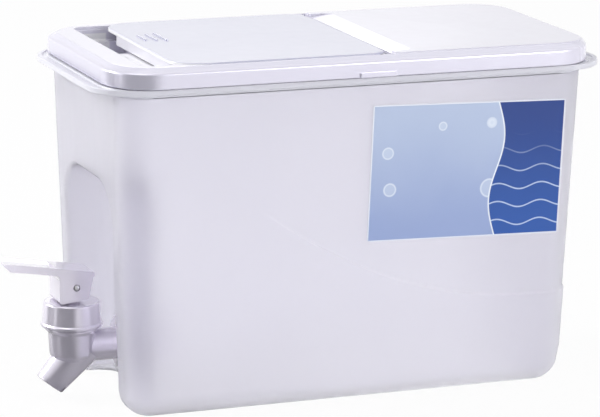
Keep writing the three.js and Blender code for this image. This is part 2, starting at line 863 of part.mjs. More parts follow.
function makeBonnet() {
  const outside = turned(
    [
      [0, bonnetBottom],
      [bonnetBeadRadius - bonnetChamfer, bonnetBottom],
      [bonnetBeadRadius, bonnetBottom + bonnetChamfer],
      [bonnetBeadRadius, bonnetBottom + bonnetBeadHeight],
      [bonnetLowerRadius, bonnetBottom + bonnetBeadHeight + bonnetChamfer],
      [bonnetTopRadius, bonnetTop - bonnetChamfer],
      [bonnetTopRadius - bonnetChamfer, bonnetTop],
      [0, bonnetTop],
    ],
    tapX,
  );
  const inside = turned(rod(bonnetBore, bonnetBottom - overrun, bonnetPlate), tapX);
  const hole = turned(rod(stemHole, bonnetBottom, bonnetTop + overrun), tapX, smallFacets);
  return piece("bonnet", outside.subtract(inside).subtract(hole), whiteTap);
}

const ringUpright = (inner, outer, low, high) =>
  turned([[inner, low], [outer, low], [outer, high], [inner, high], [inner, low]], tapX);

function makeBonnetGasket() {
  const low = neckTop + fitGap;
  return piece("bonnet_gasket", ringUpright(stemHole, neckRadius, low, low + bonnetGasketThickness), rubber);
}

const cupBottom = chamberFloor + fitGap;
const cupTop = cupBottom + cupHeight;
const stemFoot = cupBottom + cupFloor;
const stemCollarTop = cupTop + fitGap + stemCollarThickness;

function makeValveCup() {
  const cup = turned(
    [
      [0, cupBottom],
      [cupRadius - cupLip, cupBottom],
      [cupRadius, cupBottom + cupLip],
      [cupRadius - cupLip, cupBottom + 2 * cupLip],
      [cupRadius - cupWall, cupTop],
      [0, cupTop],
    ],
    tapX,
  );
  const socket = turned(rod(stemRadius + fitGap, stemFoot - fitGap, cupTop + overrun), tapX, smallFacets);
  return piece("valve_cup", cup.subtract(socket), rubber);
}

function makeValveStem() {
  const shaftTop = pinHeight - tongueLength;
  const shaft = turned(
    [
      [0, stemFoot],
      [stemRadius, stemFoot],
      [stemRadius, cupTop + fitGap],
      [stemCollarRadius, cupTop + fitGap],
      [stemCollarRadius, stemCollarTop],
      [stemRadius, stemCollarTop],
      [stemRadius, shaftTop],
      [0, shaftTop],
    ],
    tapX,
    smallFacets,
  );
  const tongue = blockOf(
    tapX - tongueWidth / 2,
    tapX + tongueWidth / 2,
    -tongueThickness / 2,
    tongueThickness / 2,
    shaftTop - stemRadius,
    pinHeight + tongueAbovePin,
  );
  const eye = crossRod(leverPinRadius + fitGap, tapX, pinHeight, -hubWidth, hubWidth);
  return piece("valve_stem", shaft.add(tongue).subtract(eye), whiteTap);
}

// The return spring, a round wire on a helix between the stem's collar and the gasket.
function makeValveSpring() {
  const low = stemCollarTop + fitGap + springWire;
  const high = neckTop - springWire;
  const steps = springTurns * springStepsPerTurn;
  const points = [];
  for (let i = 0; i <= steps; i += 1) {
    const angle = (i / springStepsPerTurn) * 2 * Math.PI;
    const height = low + (high - low) * (i / steps);
    points.push(new THREE.Vector3(tapX + springRadius * Math.cos(angle), springRadius * Math.sin(angle), height));
  }
  const section = new THREE.Shape().absarc(0, 0, springWire, 0, 2 * Math.PI);
  const path = new THREE.CatmullRomCurve3(points);
  const options = { steps, extrudePath: path, curveSegments: edgeFacets };
  return piece("valve_spring", toSolid(new THREE.ExtrudeGeometry(section, options)), steel);
}

// Lever

const leverRear = tapX + hubRearTop + leverLipReach;
const leverTip = tapX - leverReach;
const leverRearTop = pinHeight + leverRearRise;
const leverTipTop = pinHeight + leverTipRise;
const leverTopAt = (x) => leverRearTop + ((leverRear - x) / (leverRear - leverTip)) * (leverTipTop - leverRearTop);

// The paddle with the block that straddles the stem, seen from the side.
function leverSide() {
  const front = tapX - hubFront;
  const bottom = pinHeight - hubDepth;
  return [
    [tapX + hubRearFoot, bottom + hubRearLift],
    [tapX + hubRearTop, leverTopAt(leverRear) - leverLipHeight],
    [leverRear, leverTopAt(leverRear) - leverLipHeight],
    [leverRear, leverTopAt(leverRear)],
    [leverTip, leverTopAt(leverTip)],
    [leverTip + leverTipBevel, leverTopAt(leverTip + leverTipBevel) - leverThickness],
    [front, leverTopAt(front) - leverThickness],
    [front, bottom],
  ];
}

// The paddle's outline from above: a waist behind a flared tip.
function leverPlan() {
  const half = hubWidth / 2;
  const outline = [
    [leverTip - overrun, half + leverFlare],
    [leverTip, half + leverFlare],
    [leverTip + leverFlareLength, half - leverWaist],
    [tapX - hubFront, half],
    [leverRear + overrun, half],
  ];
  const far = outline.map(([x, y]) => new THREE.Vector2(x, y));
  const near = outline.map(([x, y]) => new THREE.Vector2(x, -y)).reverse();
  const low = pinHeight - hubDepth - overrun;
  const depth = leverTipTop + overrun - low;
  const plan = new THREE.ExtrudeGeometry(new THREE.Shape([...near, ...far]), { depth, bevelEnabled: false });
  return toSolid(plan.translate(0, 0, low));
}

function makeLever() {
  const slot = blockOf(
    tapX - hubSlotFront,
    tapX + hubSlotRear,
    -hubSlotWidth / 2,
    hubSlotWidth / 2,
    pinHeight - hubDepth - overrun,
    pinHeight + hubSlotAbovePin,
  );
  const eye = crossRod(leverPinRadius + fitGap, tapX, pinHeight, -hubWidth, hubWidth);
  const width = hubWidth + 2 * leverFlare + overrun;
  const lever = plateAcross(leverSide(), width).intersect(leverPlan()).subtract(slot).subtract(eye);
  return piece("tap_lever", lever, whiteTap);
}

function makeLeverPin() {
  const half = hubWidth / 2 + leverPinProud;
  return piece("lever_pin", crossRod(leverPinRadius, tapX, pinHeight, -half, half), steel);
}

// Label

// A thin sheet laid on the sloping wall of the long side, turned a little clockwise.
function makeLabel() {
  const outline = {
    low: -labelWidth / 2,
    high: labelWidth / 2,
    halfWidth: labelHeight / 2,
    frontCorner: labelCorner,
  };
  const shape = new THREE.Shape(roundedRectangle(outline));
  const sheet = new THREE.ExtrudeGeometry(shape, { depth: labelThickness, bevelEnabled: false });
  const lean = Math.atan2((mouthWidth - baseWidth) / 2, flangeUnderside);
  sheet.rotateZ(-labelTurn).translate(0, 0, labelGap).rotateX(Math.PI / 2 + lean);
  const mesh = piece("label", toSolid(sheet), paper);
  mesh.position.set(labelX, -halfWidthAt(labelZ), labelZ);
  return mesh;
}

function makeHingePin(name, side) {
  return piece(name, hingePinRod(side, 0), whiteTap);
}

// Assembly
const jug = new THREE.Group();
jug.add(makeTank(), makeLabel());
jug.add(makeTapBody(), makeOuterWasher(), makeInnerWasher(), makeLockNut());
jug.add(makeBonnet(), makeBonnetGasket());

const valve = new THREE.Group();
valve.add(makeValveStem(), makeValveCup(), makeValveSpring());

const lever = new THREE.Group();
lever.add(makeLever(), makeLeverPin());

const lid = new THREE.Group();
lid.add(makeLidFrame(), makeLidGasket());
lid.add(makeHingePin("hinge_pin_near", -1), makeHingePin("hinge_pin_far", 1));

const hatch = new THREE.Group();
hatch.add(makeHatch(), makeHatchSeal());

const assembly = new THREE.Group();
assembly.add(jug, valve, lever, lid, hatch);

export default assembly;
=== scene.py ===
"""Looks of a fridge water jug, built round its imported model. Lengths are in mm where no more is said."""
import math

import bmesh
import bpy
import numpy as np
from mathutils import Matrix, Vector


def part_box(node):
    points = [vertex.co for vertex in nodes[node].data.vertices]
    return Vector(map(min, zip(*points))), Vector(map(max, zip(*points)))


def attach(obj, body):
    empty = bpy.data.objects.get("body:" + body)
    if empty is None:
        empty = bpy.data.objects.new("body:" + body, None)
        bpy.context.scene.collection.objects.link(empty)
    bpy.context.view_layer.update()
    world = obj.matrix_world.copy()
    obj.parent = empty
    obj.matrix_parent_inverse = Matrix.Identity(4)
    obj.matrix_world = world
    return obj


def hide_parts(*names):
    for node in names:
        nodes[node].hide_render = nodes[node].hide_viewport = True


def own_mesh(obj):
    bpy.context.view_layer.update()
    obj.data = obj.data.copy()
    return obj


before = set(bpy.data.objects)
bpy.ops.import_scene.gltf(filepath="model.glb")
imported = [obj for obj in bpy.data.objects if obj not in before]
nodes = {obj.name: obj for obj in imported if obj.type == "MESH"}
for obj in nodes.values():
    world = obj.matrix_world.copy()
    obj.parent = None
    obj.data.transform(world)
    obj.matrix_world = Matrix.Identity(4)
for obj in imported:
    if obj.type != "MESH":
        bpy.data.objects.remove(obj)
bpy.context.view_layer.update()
MM = 0.001

# Sizes of the solid model that the pieces share. An outline, seen from above, is a rounded rectangle:
# low x, high x, half width, front radius and rear radius.
BASE = (-120.4, 118.6, 59.0, 14.0, 14.0)
MOUTH = (-126.8, 126.0, 63.5, 16.0, 16.0)
FLANGE_LOW, FLANGE_HIGH, RIM_TOP = 167.4, 170.4, 174.5
WALL, FLOOR, BASE_ROUND = 2.2, 2.6, 12.5
NICHE_FRONT, NICHE_BACK, NICHE_TOP, NICHE_SHOULDER = -124.9, -100.5, 117.0, 22.0
NICHE_HALF_FRONT, NICHE_HALF_BACK = 39.0, 36.0
TAP_X, SHANK_Z, PIN_Z = -133.0, 26.2, 59.1
LID = (-131.0, 131.0, 68.5, 26.0, 26.0)
LID_TOP, LID_UNDER, SKIRT_FOOT = 181.2, 176.7, 171.0
DECK_TOP, DECK_UNDER = 174.0, 172.2
HATCH = (-97.5, 17.0, 62.0, 16.0, 14.0)
HATCH_TOP, HATCH_UNDER, SEAT_TOP = 181.8, 179.8, 179.5
BAY = (-114.0, 17.8, 58.2, 6.0, 0.8)
HINGE_X, HINGE_Z = 13.8, 178.6
PIN_HOLE, PIN_INNER_END, PIN_OUTER_END = 1.3, 42.7, 57.3


# Camera

def place_camera():
    """The photograph's camera. It looks at a point on the jug's axis."""
    azimuth, elevation, roll = (math.radians(a) for a in (-21.52, 13.07, 0.69))
    aim, distance = Vector((0, 0, 0.086)), 1.7442
    back = Vector((math.sin(azimuth) * math.cos(elevation),
                   -math.cos(azimuth) * math.cos(elevation),
                   math.sin(elevation)))
    level = Vector((math.cos(azimuth), math.sin(azimuth), 0))
    raised = back.cross(level)
    right = math.cos(roll) * level + math.sin(roll) * raised
    up = back.cross(right)
    data = bpy.data.cameras.new("camera")
    data.lens, data.sensor_width = 199.93, 36
    data.shift_x, data.shift_y = -0.02425, 0.00927
    data.clip_start, data.clip_end = 0.1, 100
    camera = bpy.data.objects.new("camera", data)
    bpy.context.scene.collection.objects.link(camera)
    turn = Matrix((right, up, back)).transposed().to_4x4()
    camera.matrix_world = Matrix.Translation(aim + back * distance) @ turn
    bpy.context.scene.camera = camera


place_camera()
bpy.context.scene.view_settings.view_transform = "Standard"


# Outlines and paths

def shrunk(outline, inset):
    """An outline with each side moved in by inset. A negative inset moves it out."""
    low, high, half, front, rear = outline
    sharpest = 0.05
    return low + inset, high - inset, half - inset, max(front - inset, sharpest), max(rear - inset, sharpest)


def loop(outline, steps=14, ends=1, longs=1):
    """The rounded rectangle as one anticlockwise loop. The counts are the parts of a corner, end and side."""
    low, high, half, front, rear = outline
    corners = (
        (high - rear, rear - half, rear, -90),
        (high - rear, half - rear, rear, 0),
        (low + front, half - front, front, 90),
        (low + front, front - half, front, 180),
    )
    arcs = []
    for x, y, radius, start in corners:
        angle = np.radians(start + np.linspace(0, 90, steps + 1))
        arcs.append(np.column_stack((x + radius * np.cos(angle), y + radius * np.sin(angle))))
    parts = []
    for k, arc in enumerate(arcs):
        share = np.linspace(0, 1, (ends, longs)[k % 2] + 1)[1:-1, None]
        parts += [arc, arc[-1] + (arcs[(k + 1) % 4][0] - arc[-1]) * share]
    return np.vstack(parts)


def raised(flat, z):
    """Flat points at a height, or at one height per point."""
    return np.column_stack((flat, np.broadcast_to(z, len(flat))))


def level_ring(outline, z, **parts):
    """The loop of a rounded rectangle at one height."""
    return raised(loop(outline, **parts), z)


def profile_rings(outline, path, **parts):
    """Level rings of an outline, one for each (inset, height) of a path."""
    return [level_ring(shrunk(outline, inset), z, **parts) for inset, z in path]


def eased_path(points, steps=5):
    """A polyline of (a, b, radius) with an arc of that radius at each corner."""
    points = np.array(points, float)
    out = [points[0, :2]]
    for before, corner, after in zip(points, points[1:], points[2:]):
        q, radius = corner[:2], corner[2]
        if radius == 0:
            out.append(q)
            continue
        u, v = before[:2] - q, after[:2] - q
        u, v = u / np.hypot(*u), v / np.hypot(*v)
        half = math.acos(np.clip(u @ v, -1, 1)) / 2
        centre = q + (u + v) / np.hypot(*(u + v)) * radius / math.sin(half)
        start = q + u * radius / math.tan(half) - centre
        end = q + v * radius / math.tan(half) - centre
        first = math.atan2(start[1], start[0])
        turn = (math.atan2(end[1], end[0]) - first + math.pi) % (2 * math.pi) - math.pi
        for angle in first + turn * np.linspace(0, 1, steps + 1):
            out.append(centre + radius * np.array((math.cos(angle), math.sin(angle))))
    return np.array(out + [points[-1, :2]])


# Meshes

def new_piece(name, vertices, faces):
    """A mesh object from points in millimetres, standing at the origin."""
    mesh = bpy.data.meshes.new(name)
    mesh.from_pydata(np.asarray(vertices) * MM, [], faces)
    mesh.validate()
    piece = bpy.data.objects.new(name, mesh)
    bpy.context.scene.collection.objects.link(piece)
    return piece


def skin(name, rings, closed=False):
    """Quads between neighbouring rings, with a flat cap at each end, or closed ring to ring."""
    rings = np.asarray(rings, float)
    rows, count = rings.shape[:2]
    index = np.arange(rows * count).reshape(rows, count)
    upper = np.roll(index, -1, axis=0)
    if not closed:
        index, upper = index[:-1], index[1:]
    quads = np.stack((index, np.roll(index, -1, 1), np.roll(upper, -1, 1), upper), -1).reshape(-1, 4)
    faces = quads.tolist()
    if not closed:
        faces += [list(range(count))[::-1], list(range((rows - 1) * count, rows * count))]
    return new_piece(name, rings.reshape(-1, 3), faces)


def turned_ring(radius, height, segments):
    """A circle about the third axis, or one point where the radius is nought."""
    if radius < 1e-6:
        return np.array([[0, 0, height]])
    angle = np.linspace(0, 2 * math.pi, segments, endpoint=False)
    return raised(radius * np.column_stack((np.cos(angle), np.sin(angle))), height)


def revolve(name, path, place, segments=96):
    """A path of (radius, height) turned about an axis, which place puts where it belongs."""
    rings = [turned_ring(radius, height, segments) for radius, height in path]
    starts = np.cumsum([0] + [len(ring) for ring in rings])
    rows = [start + np.arange(len(ring)) for start, ring in zip(starts, rings)]
    faces = []
    for low, high in zip(rows, rows[1:]):
        a, b = np.resize(low, segments), np.resize(high, segments)
        next_a, next_b = (np.resize(np.roll(row, -1), segments) for row in (low, high))
        for quad in np.stack((a, next_a, next_b, b), -1).tolist():
            faces.append([v for i, v in enumerate(quad) if v not in quad[:i]])
    return new_piece(name, place(np.vstack(rings)), faces)


def revolve_ring(name, path, place, segments=96):
    """A closed path of (radius, height) turned about an axis that it keeps clear of."""
    rings = [place(turned_ring(radius, height, segments)) for radius, height in path[:-1]]
    return skin(name, rings, closed=True)


def upright(points):
    """Turns a revolved path about the tap's upright axis."""
    return points + np.array((TAP_X, 0, 0))


def along_shank(points):
    """Turns a revolved path about the shank's level axis, with its heights along x."""
    return np.column_stack((points[:, 2], points[:, 1], SHANK_Z - points[:, 0]))


def across(x, z):
    """Turns a revolved path about an axis along y through (x, z)."""
    return lambda points: np.column_stack((x + points[:, 1], points[:, 2], z + points[:, 0]))


def rod(radius, low, high):
    """The path of a plain round bar."""
    return [(0, low), (radius, low), (radius, high), (0, high)]


def cross_rod(name, radius, x, z, low, high, segments=40):
    """A round bar along y."""
    return revolve(name, rod(radius, low, high), across(x, z), segments)


def pin_hole(side, segments):
    """Cutter for the bore of one hinge pin, at the side -1 or 1."""
    low, high = sorted((side * PIN_INNER_END, side * PIN_OUTER_END))
    return cross_rod("pin_hole", PIN_HOLE, HINGE_X, HINGE_Z, low, high, segments)


def block(name, low, high, corner=0.5):
    """A slab between two opposite corners, with round upright edges."""
    half, middle = (high[1] - low[1]) / 2, (high[1] + low[1]) / 2
    outline = (low[0], high[0], half, corner, corner)
    rings = [level_ring(outline, z, steps=6) for z in (low[2], high[2])]
    return skin(name, np.array(rings) + np.array((0, middle, 0)))


def combine(base, others, operation="DIFFERENCE"):
    """Cuts the others out of the base, or joins them to it, one by one."""
    for other in others:
        step = base.modifiers.new("combine", "BOOLEAN")
        step.operation, step.solver, step.object = operation, "EXACT", other
        evaluated = base.evaluated_get(bpy.context.evaluated_depsgraph_get())
        result = bpy.data.meshes.new_from_object(evaluated)
        merge_close(result)
        base.modifiers.clear()
        spare = base.data
        base.data = result
        bpy.data.meshes.remove(spare)
        bpy.data.meshes.remove(other.data)
    return base


def merge_close(mesh, reach=2e-6):
    """Joins points that lie closer together than the reach."""
    shape = bmesh.new()
    shape.from_mesh(mesh)
    bmesh.ops.remove_doubles(shape, verts=shape.verts, dist=reach)
    bmesh.ops.dissolve_degenerate(shape, edges=shape.edges, dist=reach)
    shape.to_mesh(mesh)
    shape.free()


def smooth(piece, angle=32):
    """Shades a surface smoothly but for its sharp edges."""
    piece.data.shade_smooth()
    piece.data.set_sharp_from_angle(angle=math.radians(angle))
    weighted = piece.modifiers.new("weighted", "WEIGHTED_NORMAL")
    weighted.keep_sharp = True
    return piece


def fitted(piece, body, material, slot, *replaced):
    """Smooths a piece, gives it its body and material and hides the solid nodes that it replaces. The slot is
    not used.
    """
    smooth(piece)
    piece.data.materials.clear()
    piece.data.materials.append(material)
    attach(piece, body)
    if replaced:
        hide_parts(*replaced)
    return piece


# Materials

class Wiring:
    """Short calls that add nodes to a tree and join their sockets."""

    def __init__(self, tree):
        self.tree = tree

    def add(self, kind, values=(), **settings):
        node = self.tree.nodes.new(kind)
        for key, value in settings.items():
            setattr(node, key, value)
        for key, value in dict(values).items():
            self.set(node.inputs[key], value)
        return node

    def set(self, socket, value):
        if isinstance(value, bpy.types.NodeSocket):
            self.tree.links.new(value, socket)
        else:
            socket.default_value = value

    def math(self, operation, *values, clamp=False):
        return self.add("ShaderNodeMath", enumerate(values), operation=operation, use_clamp=clamp).outputs[0]

    def vector(self, operation, *values):
        return self.add("ShaderNodeVectorMath", enumerate(values), operation=operation).outputs

    def place(self):
        return self.add("ShaderNodeTexCoord").outputs["Object"]

    def product(self, first, *others):
        for other in others:
            first = self.math("MULTIPLY", first, other)
        return first

    def mix(self, factor, first, second):
        node = self.add("ShaderNodeMix", data_type="RGBA")
        for index, value in ((0, factor), (6, first), (7, second)):
            self.set(node.inputs[index], value)
        return node.outputs[2]

    def ramp(self, value, low, high, first=0.0, second=1.0):
        node = self.add("ShaderNodeMapRange", {0: value, 1: low, 2: high, 3: first, 4: second},
                        interpolation_type="SMOOTHSTEP")
        return node.outputs[0]

    def noise(self, place, scale, detail=2.0, roughness=0.5):
        values = {"Vector": place, "Scale": scale, "Detail": detail, "Roughness": roughness}
        return self.add("ShaderNodeTexNoise", values).outputs[0]


def moulded_surface():
    """Node group: the surface of moulded plastic.

    Colour goes from tint to shade in clouds. Roughness has upright streaks. Height is a grain over waves."""
    tree = bpy.data.node_groups.new("moulded_surface", "ShaderNodeTree")
    face = tree.interface
    for name in ("Tint", "Shade"):
        face.new_socket(name, in_out="INPUT", socket_type="NodeSocketColor")
    for name in ("Cloud", "Roughness", "Unevenness", "Grain"):
        face.new_socket(name, in_out="INPUT", socket_type="NodeSocketFloat")
    for name, kind in (("Colour", "Color"), ("Roughness", "Float"), ("Height", "Float")):
        face.new_socket(name, in_out="OUTPUT", socket_type="NodeSocket" + kind)
    wire = Wiring(tree)
    given = wire.add("NodeGroupInput").outputs
    place = wire.place()
    stretched = wire.vector("MULTIPLY", place, (1.0, 1.0, 0.25))[0]
    clouds = wire.noise(place, scale=26.0, detail=3.0)
    waves = wire.noise(place, scale=60.0)
    streaks = wire.noise(stretched, scale=160.0, detail=3.0)
    grain = wire.noise(place, scale=2600.0)
    cloud = wire.product(wire.ramp(clouds, 0.3, 0.7), given["Cloud"])
    colour = wire.mix(cloud, given["Tint"], given["Shade"])
    uneven = wire.math("MULTIPLY_ADD", streaks, 1.2, -0.6)
    rough = wire.math("MULTIPLY_ADD", uneven, given["Unevenness"], given["Roughness"], clamp=True)
    height = wire.math("MULTIPLY_ADD", grain, given["Grain"], wire.product(waves, 0.6))
    out = wire.add("NodeGroupOutput")
    for name, value in (("Colour", colour), ("Roughness", rough), ("Height", height)):
        wire.set(out.inputs[name], value)
    return tree


MOULDED = moulded_surface()
BUMP_DEPTH = 0.2 * MM


def new_material(name):
    """A material with its wiring and its shader."""
    material = bpy.data.materials.new(name)
    material.use_nodes = True
    return material, Wiring(material.node_tree), shader_of(material)


def shader_of(material):
    return material.node_tree.nodes["Principled BSDF"]


def plastic(name, tint, shade, cloud, roughness, unevenness, grain, bump, **constants):
    """A moulded plastic. The constants go on the shader's own sockets."""
    material, wire, shader = new_material(name)
    values = {"Tint": (*tint, 1), "Shade": (*shade, 1), "Cloud": cloud, "Roughness": roughness,
              "Unevenness": unevenness, "Grain": grain}
    surface = wire.add("ShaderNodeGroup", node_tree=MOULDED)
    for key, value in values.items():
        surface.inputs[key].default_value = value
    wire.set(shader.inputs["Base Color"], surface.outputs["Colour"])
    wire.set(shader.inputs["Roughness"], surface.outputs["Roughness"])
    height = {"Strength": bump, "Distance": BUMP_DEPTH, "Height": surface.outputs["Height"]}
    wire.set(shader.inputs["Normal"], wire.add("ShaderNodeBump", height).outputs["Normal"])
    for key, value in constants.items():
        shader.inputs[key.replace("_", " ")].default_value = value
    return material


frosted = plastic(
    "frosted_tank", tint=(0.955, 0.945, 1.0), shade=(0.935, 0.925, 0.985), cloud=0.6, roughness=0.42,
    unevenness=0.12, grain=0.5, bump=0.2, Transmission_Weight=0.86, IOR=1.46, Specular_IOR_Level=0.3)
frosted_lip = plastic(
    "frosted_lip", tint=(0.93, 0.925, 0.985), shade=(0.90, 0.895, 0.96), cloud=0.5, roughness=0.3,
    unevenness=0.04, grain=0.3, bump=0.1, Transmission_Weight=0.3, IOR=1.46)
lid_white = plastic(
    "lid_plastic", tint=(0.74, 0.72, 0.83), shade=(0.715, 0.695, 0.805), cloud=0.5, roughness=0.24,
    unevenness=0.04, grain=0.06, bump=0.05, IOR=1.49, Coat_Weight=0.7, Coat_IOR=1.5, Coat_Roughness=0.06)
hatch_white = plastic(
    "hatch_plastic", tint=(0.565, 0.565, 0.69), shade=(0.545, 0.545, 0.67), cloud=0.5, roughness=0.24,
    unevenness=0.04, grain=0.06, bump=0.05, IOR=1.49, Coat_Weight=0.4, Coat_IOR=1.5, Coat_Roughness=0.08)
tap_white = plastic(
    "tap_plastic", tint=(0.79, 0.75, 0.85), shade=(0.75, 0.71, 0.82), cloud=0.5, roughness=0.23,
    unevenness=0.04, grain=0.1, bump=0.05, Metallic=0.52, IOR=1.5, Coat_Weight=1.0, Coat_IOR=1.7,
    Coat_Roughness=0.09)
silicone = plastic(
    "silicone", tint=(0.82, 0.81, 0.84), shade=(0.76, 0.75, 0.79), cloud=0.6, roughness=0.5,
    unevenness=0.1, grain=0.6, bump=0.2, IOR=1.41)
rubber = plastic(
    "pale_rubber", tint=(0.52, 0.51, 0.52), shade=(0.45, 0.44, 0.46), cloud=0.6, roughness=0.6,
    unevenness=0.1, grain=0.8, bump=0.3, IOR=1.45)


def places(wire):
    """The x, the distance from the jug's middle plane and the z of a point, in millimetres."""
    place = wire.vector("MULTIPLY", wire.place(), (1 / MM, 1 / MM, 1 / MM))[0]
    split = wire.add("ShaderNodeSeparateXYZ", {"Vector": place}).outputs
    return split["X"], wire.math("ABSOLUTE", split["Y"]), split["Z"]


def retone(material, wire, part, tone):
    """Gives the plastic another tone where the part's mask is 1."""
    colour = shader_of(material).inputs["Base Color"]
    wire.set(colour, wire.mix(part, colour.links[0].from_socket, (*tone, 1)))


def paint_lid_light_and_sheen():
    """Painted light: a pale finger recess in front of the hatch and pale shoulders along the sides. The skirt
    is pearly.
    """
    recess_half, recess_front, recess_rear, recess_rim = 63.5, -116.5, -95.0, 177.8
    shoulder_foot, shoulder_top = 178.6, 181.5
    wire = Wiring(lid_white.node_tree)
    x, aside, z = places(wire)
    inside = wire.product(wire.ramp(aside, recess_half, recess_half - 1),
                          wire.ramp(x, recess_front, recess_front + 1))
    recess = wire.product(inside, wire.ramp(z, recess_rim, recess_rim - 0.6),
                          wire.ramp(x, recess_rear, recess_rear - 1))
    shoulder = wire.product(wire.ramp(aside, 60.0, 64.5), wire.ramp(z, shoulder_foot, shoulder_foot + 0.6),
                            wire.ramp(z, shoulder_top, shoulder_top - 0.3))
    # Painted light: the finger recess is painted nearly white, standing in for light that fills it.
    retone(lid_white, wire, recess, (0.99, 0.985, 1))
    # Painted light: the shoulders along the long sides are painted paler.
    retone(lid_white, wire, shoulder, (0.85, 0.83, 0.94))
    skirt = wire.product(wire.math("SUBTRACT", 1.0, inside), wire.ramp(z, 180.3, 178.8))
    wire.set(shader_of(lid_white).inputs["Metallic"], wire.product(skirt, 0.4))


def paint_hatch_light_shade_and_sheen():
    """Painted highlight: palest at the plate's front edge. Painted light: less pale on the skirt below it.
    Painted shade: darker on the underside inside the skirt. The ribs are pearly.
    """
    edge_end, edge_fade, wall_top, wall_half, wall_front = -76.0, 14.0, 180.2, 55.5, -94.9
    wire = Wiring(hatch_white.node_tree)
    x, aside, z = places(wire)
    front = wire.ramp(x, edge_end, edge_end - edge_fade)
    edge = wire.product(wire.ramp(z, HATCH_TOP, HATCH_TOP - 0.6), front)
    wall = wire.ramp(z, wall_top, wall_top - 0.6)
    underside = wire.product(wall, wire.ramp(aside, wall_half, wall_half - 1),
                             wire.ramp(x, wall_front, wall_front + 1))
    # Painted highlight: the plate's front edge is painted white.
    retone(hatch_white, wire, edge, (1, 1, 1))
    # Painted light: the skirt and the plate's lower edge are painted paler.
    retone(hatch_white, wire, wall, (0.84, 0.83, 0.89))
    # Painted shade: the underside inside the skirt is painted darker.
    retone(hatch_white, wire, underside, (0.52, 0.52, 0.62))
    ribs = wire.ramp(z, HATCH_TOP + 0.05, HATCH_TOP + 0.2)
    wire.set(shader_of(hatch_white).inputs["Metallic"], wire.product(ribs, 0.6))


def spring_steel():
    """Drawn wire: metal whose tone and roughness follow a fine noise."""
    material, wire, shader = new_material("spring_steel")
    place = wire.place()
    drawn = wire.noise(place, scale=1800.0, detail=3.0)
    wire.set(shader.inputs["Base Color"], wire.mix(drawn, (0.56, 0.56, 0.58, 1), (0.66, 0.66, 0.68, 1)))
    wire.set(shader.inputs["Roughness"], wire.ramp(drawn, 0.2, 0.8, 0.16, 0.25))
    shader.inputs["Metallic"].default_value = 1.0
    return material


paint_lid_light_and_sheen()
paint_hatch_light_shade_and_sheen()
steel = spring_steel()


# Tank

NECK_LOW = FLANGE_LOW - 1.5
LEDGE_FOOT, LEDGE_TOP, LEDGE_START, LEDGE_END, LEDGE_CURVE = 50.3, 109.0, (-52, -26), 97.0, 0.00241
LEDGE_RELIEF, LEDGE_STEP, LEDGE_BAND, FOOT_FADE = 0.85, 0.6, 1.3, 6.0
NICHE_DEPTH = NICHE_BACK - NICHE_FRONT
NICHE_FLARE, NICHE_CORNER, NICHE_FOOT, NICHE_BELOW = 2.4, 7.0, 6.0, -6.0


def fine_loop(outline, inset=0):
    """An outline moved in by inset, as a loop with many points on its straights."""
    return loop(shrunk(outline, inset), steps=14, ends=16, longs=64)


def fine_rings(outline, path):
    """Rings of such loops, one for each (inset, height) of a path."""
    return [raised(fine_loop(outline, inset), z) for inset, z in path]


mouth_loop = fine_loop(MOUTH)


def wall_loop(z, inset):
    """The sloping wall's loop at a height, or at one height per point."""
    share = np.clip(np.asarray(z, float) / FLANGE_LOW, 0, 1).reshape(-1, 1)
    base = fine_loop(BASE, inset)
    return base + (fine_loop(MOUTH, inset) - base) * share


def ledge_heights():
    """The ledge's height at each point of the wall: a parabola of x, level at its rear end."""
    before_end = np.maximum(LEDGE_END - mouth_loop[:, 0], 0)
    return np.minimum(LEDGE_FOOT + LEDGE_CURVE * before_end ** 2, LEDGE_TOP)


def wall_outward():
    """The level direction out of the wall at each point."""
    outward = mouth_loop - fine_loop(MOUTH, 1)
    return outward / np.maximum(np.hypot(*outward.T), 1e-6)[:, None]


def wall_rings(inset, floor, radius, relief):
    """Rings from the base's round edge up to the neck. Below the ledge the wall stands proud."""
    rings = []
    for angle in np.linspace(0, math.pi / 2, 10):
        z = floor + radius * (1 - math.cos(angle))
        flat = wall_loop(z, inset + radius * (1 - math.sin(angle)))
        rings.append(raised(flat, z))
    outward, ledge = wall_outward(), ledge_heights()
    strength = np.interp(mouth_loop[:, 0], LEDGE_START, (0, 1))
    foot, low, high = floor + radius, ledge - LEDGE_BAND, ledge + LEDGE_BAND
    rows = [foot + (low - foot) * t for t in np.linspace(0, 1, 14)[1:-1]]
    rows += [ledge + LEDGE_BAND * t for t in np.linspace(-1, 1, 11)]
    rows += [high + (NECK_LOW - high) * t for t in np.linspace(0, 1, 14)[1:]]
    for z in rows:
        below = np.clip((ledge + LEDGE_STEP - z) / (2 * LEDGE_STEP), 0, 1)
        proud = relief * strength * below * below * (3 - 2 * below) * np.clip((z - foot) / FOOT_FADE, 0, 1)
        rings.append(raised(wall_loop(z, inset) + outward * proud[:, None], z))
    return rings


def tank_outside():
    """The tank's outer form as one skin: base, walls and a neck with a round rim."""
    neck = eased_path([(0, NECK_LOW, 0), (0, RIM_TOP, 0.7), (1, RIM_TOP, 0)], 4)
    rings = wall_rings(0, 0, BASE_ROUND, LEDGE_RELIEF) + fine_rings(MOUTH, neck)
    return skin("tank_outside", rings)


def tank_inside():
    """The room in the tank, less the niche with its wall. It opens past the rim."""
    neck = eased_path([(WALL, FLANGE_LOW + 0.6, 0), (WALL, RIM_TOP, 0.6), (WALL - 1, RIM_TOP, 0),
                       (WALL - 1, RIM_TOP + 6, 0)], 4)
    rings = wall_rings(WALL, FLOOR, BASE_ROUND - WALL, 0) + fine_rings(MOUTH, neck)
    return combine(skin("tank_inside", rings), [niche_space("niche", WALL, 0), niche_foot("foot", WALL)])


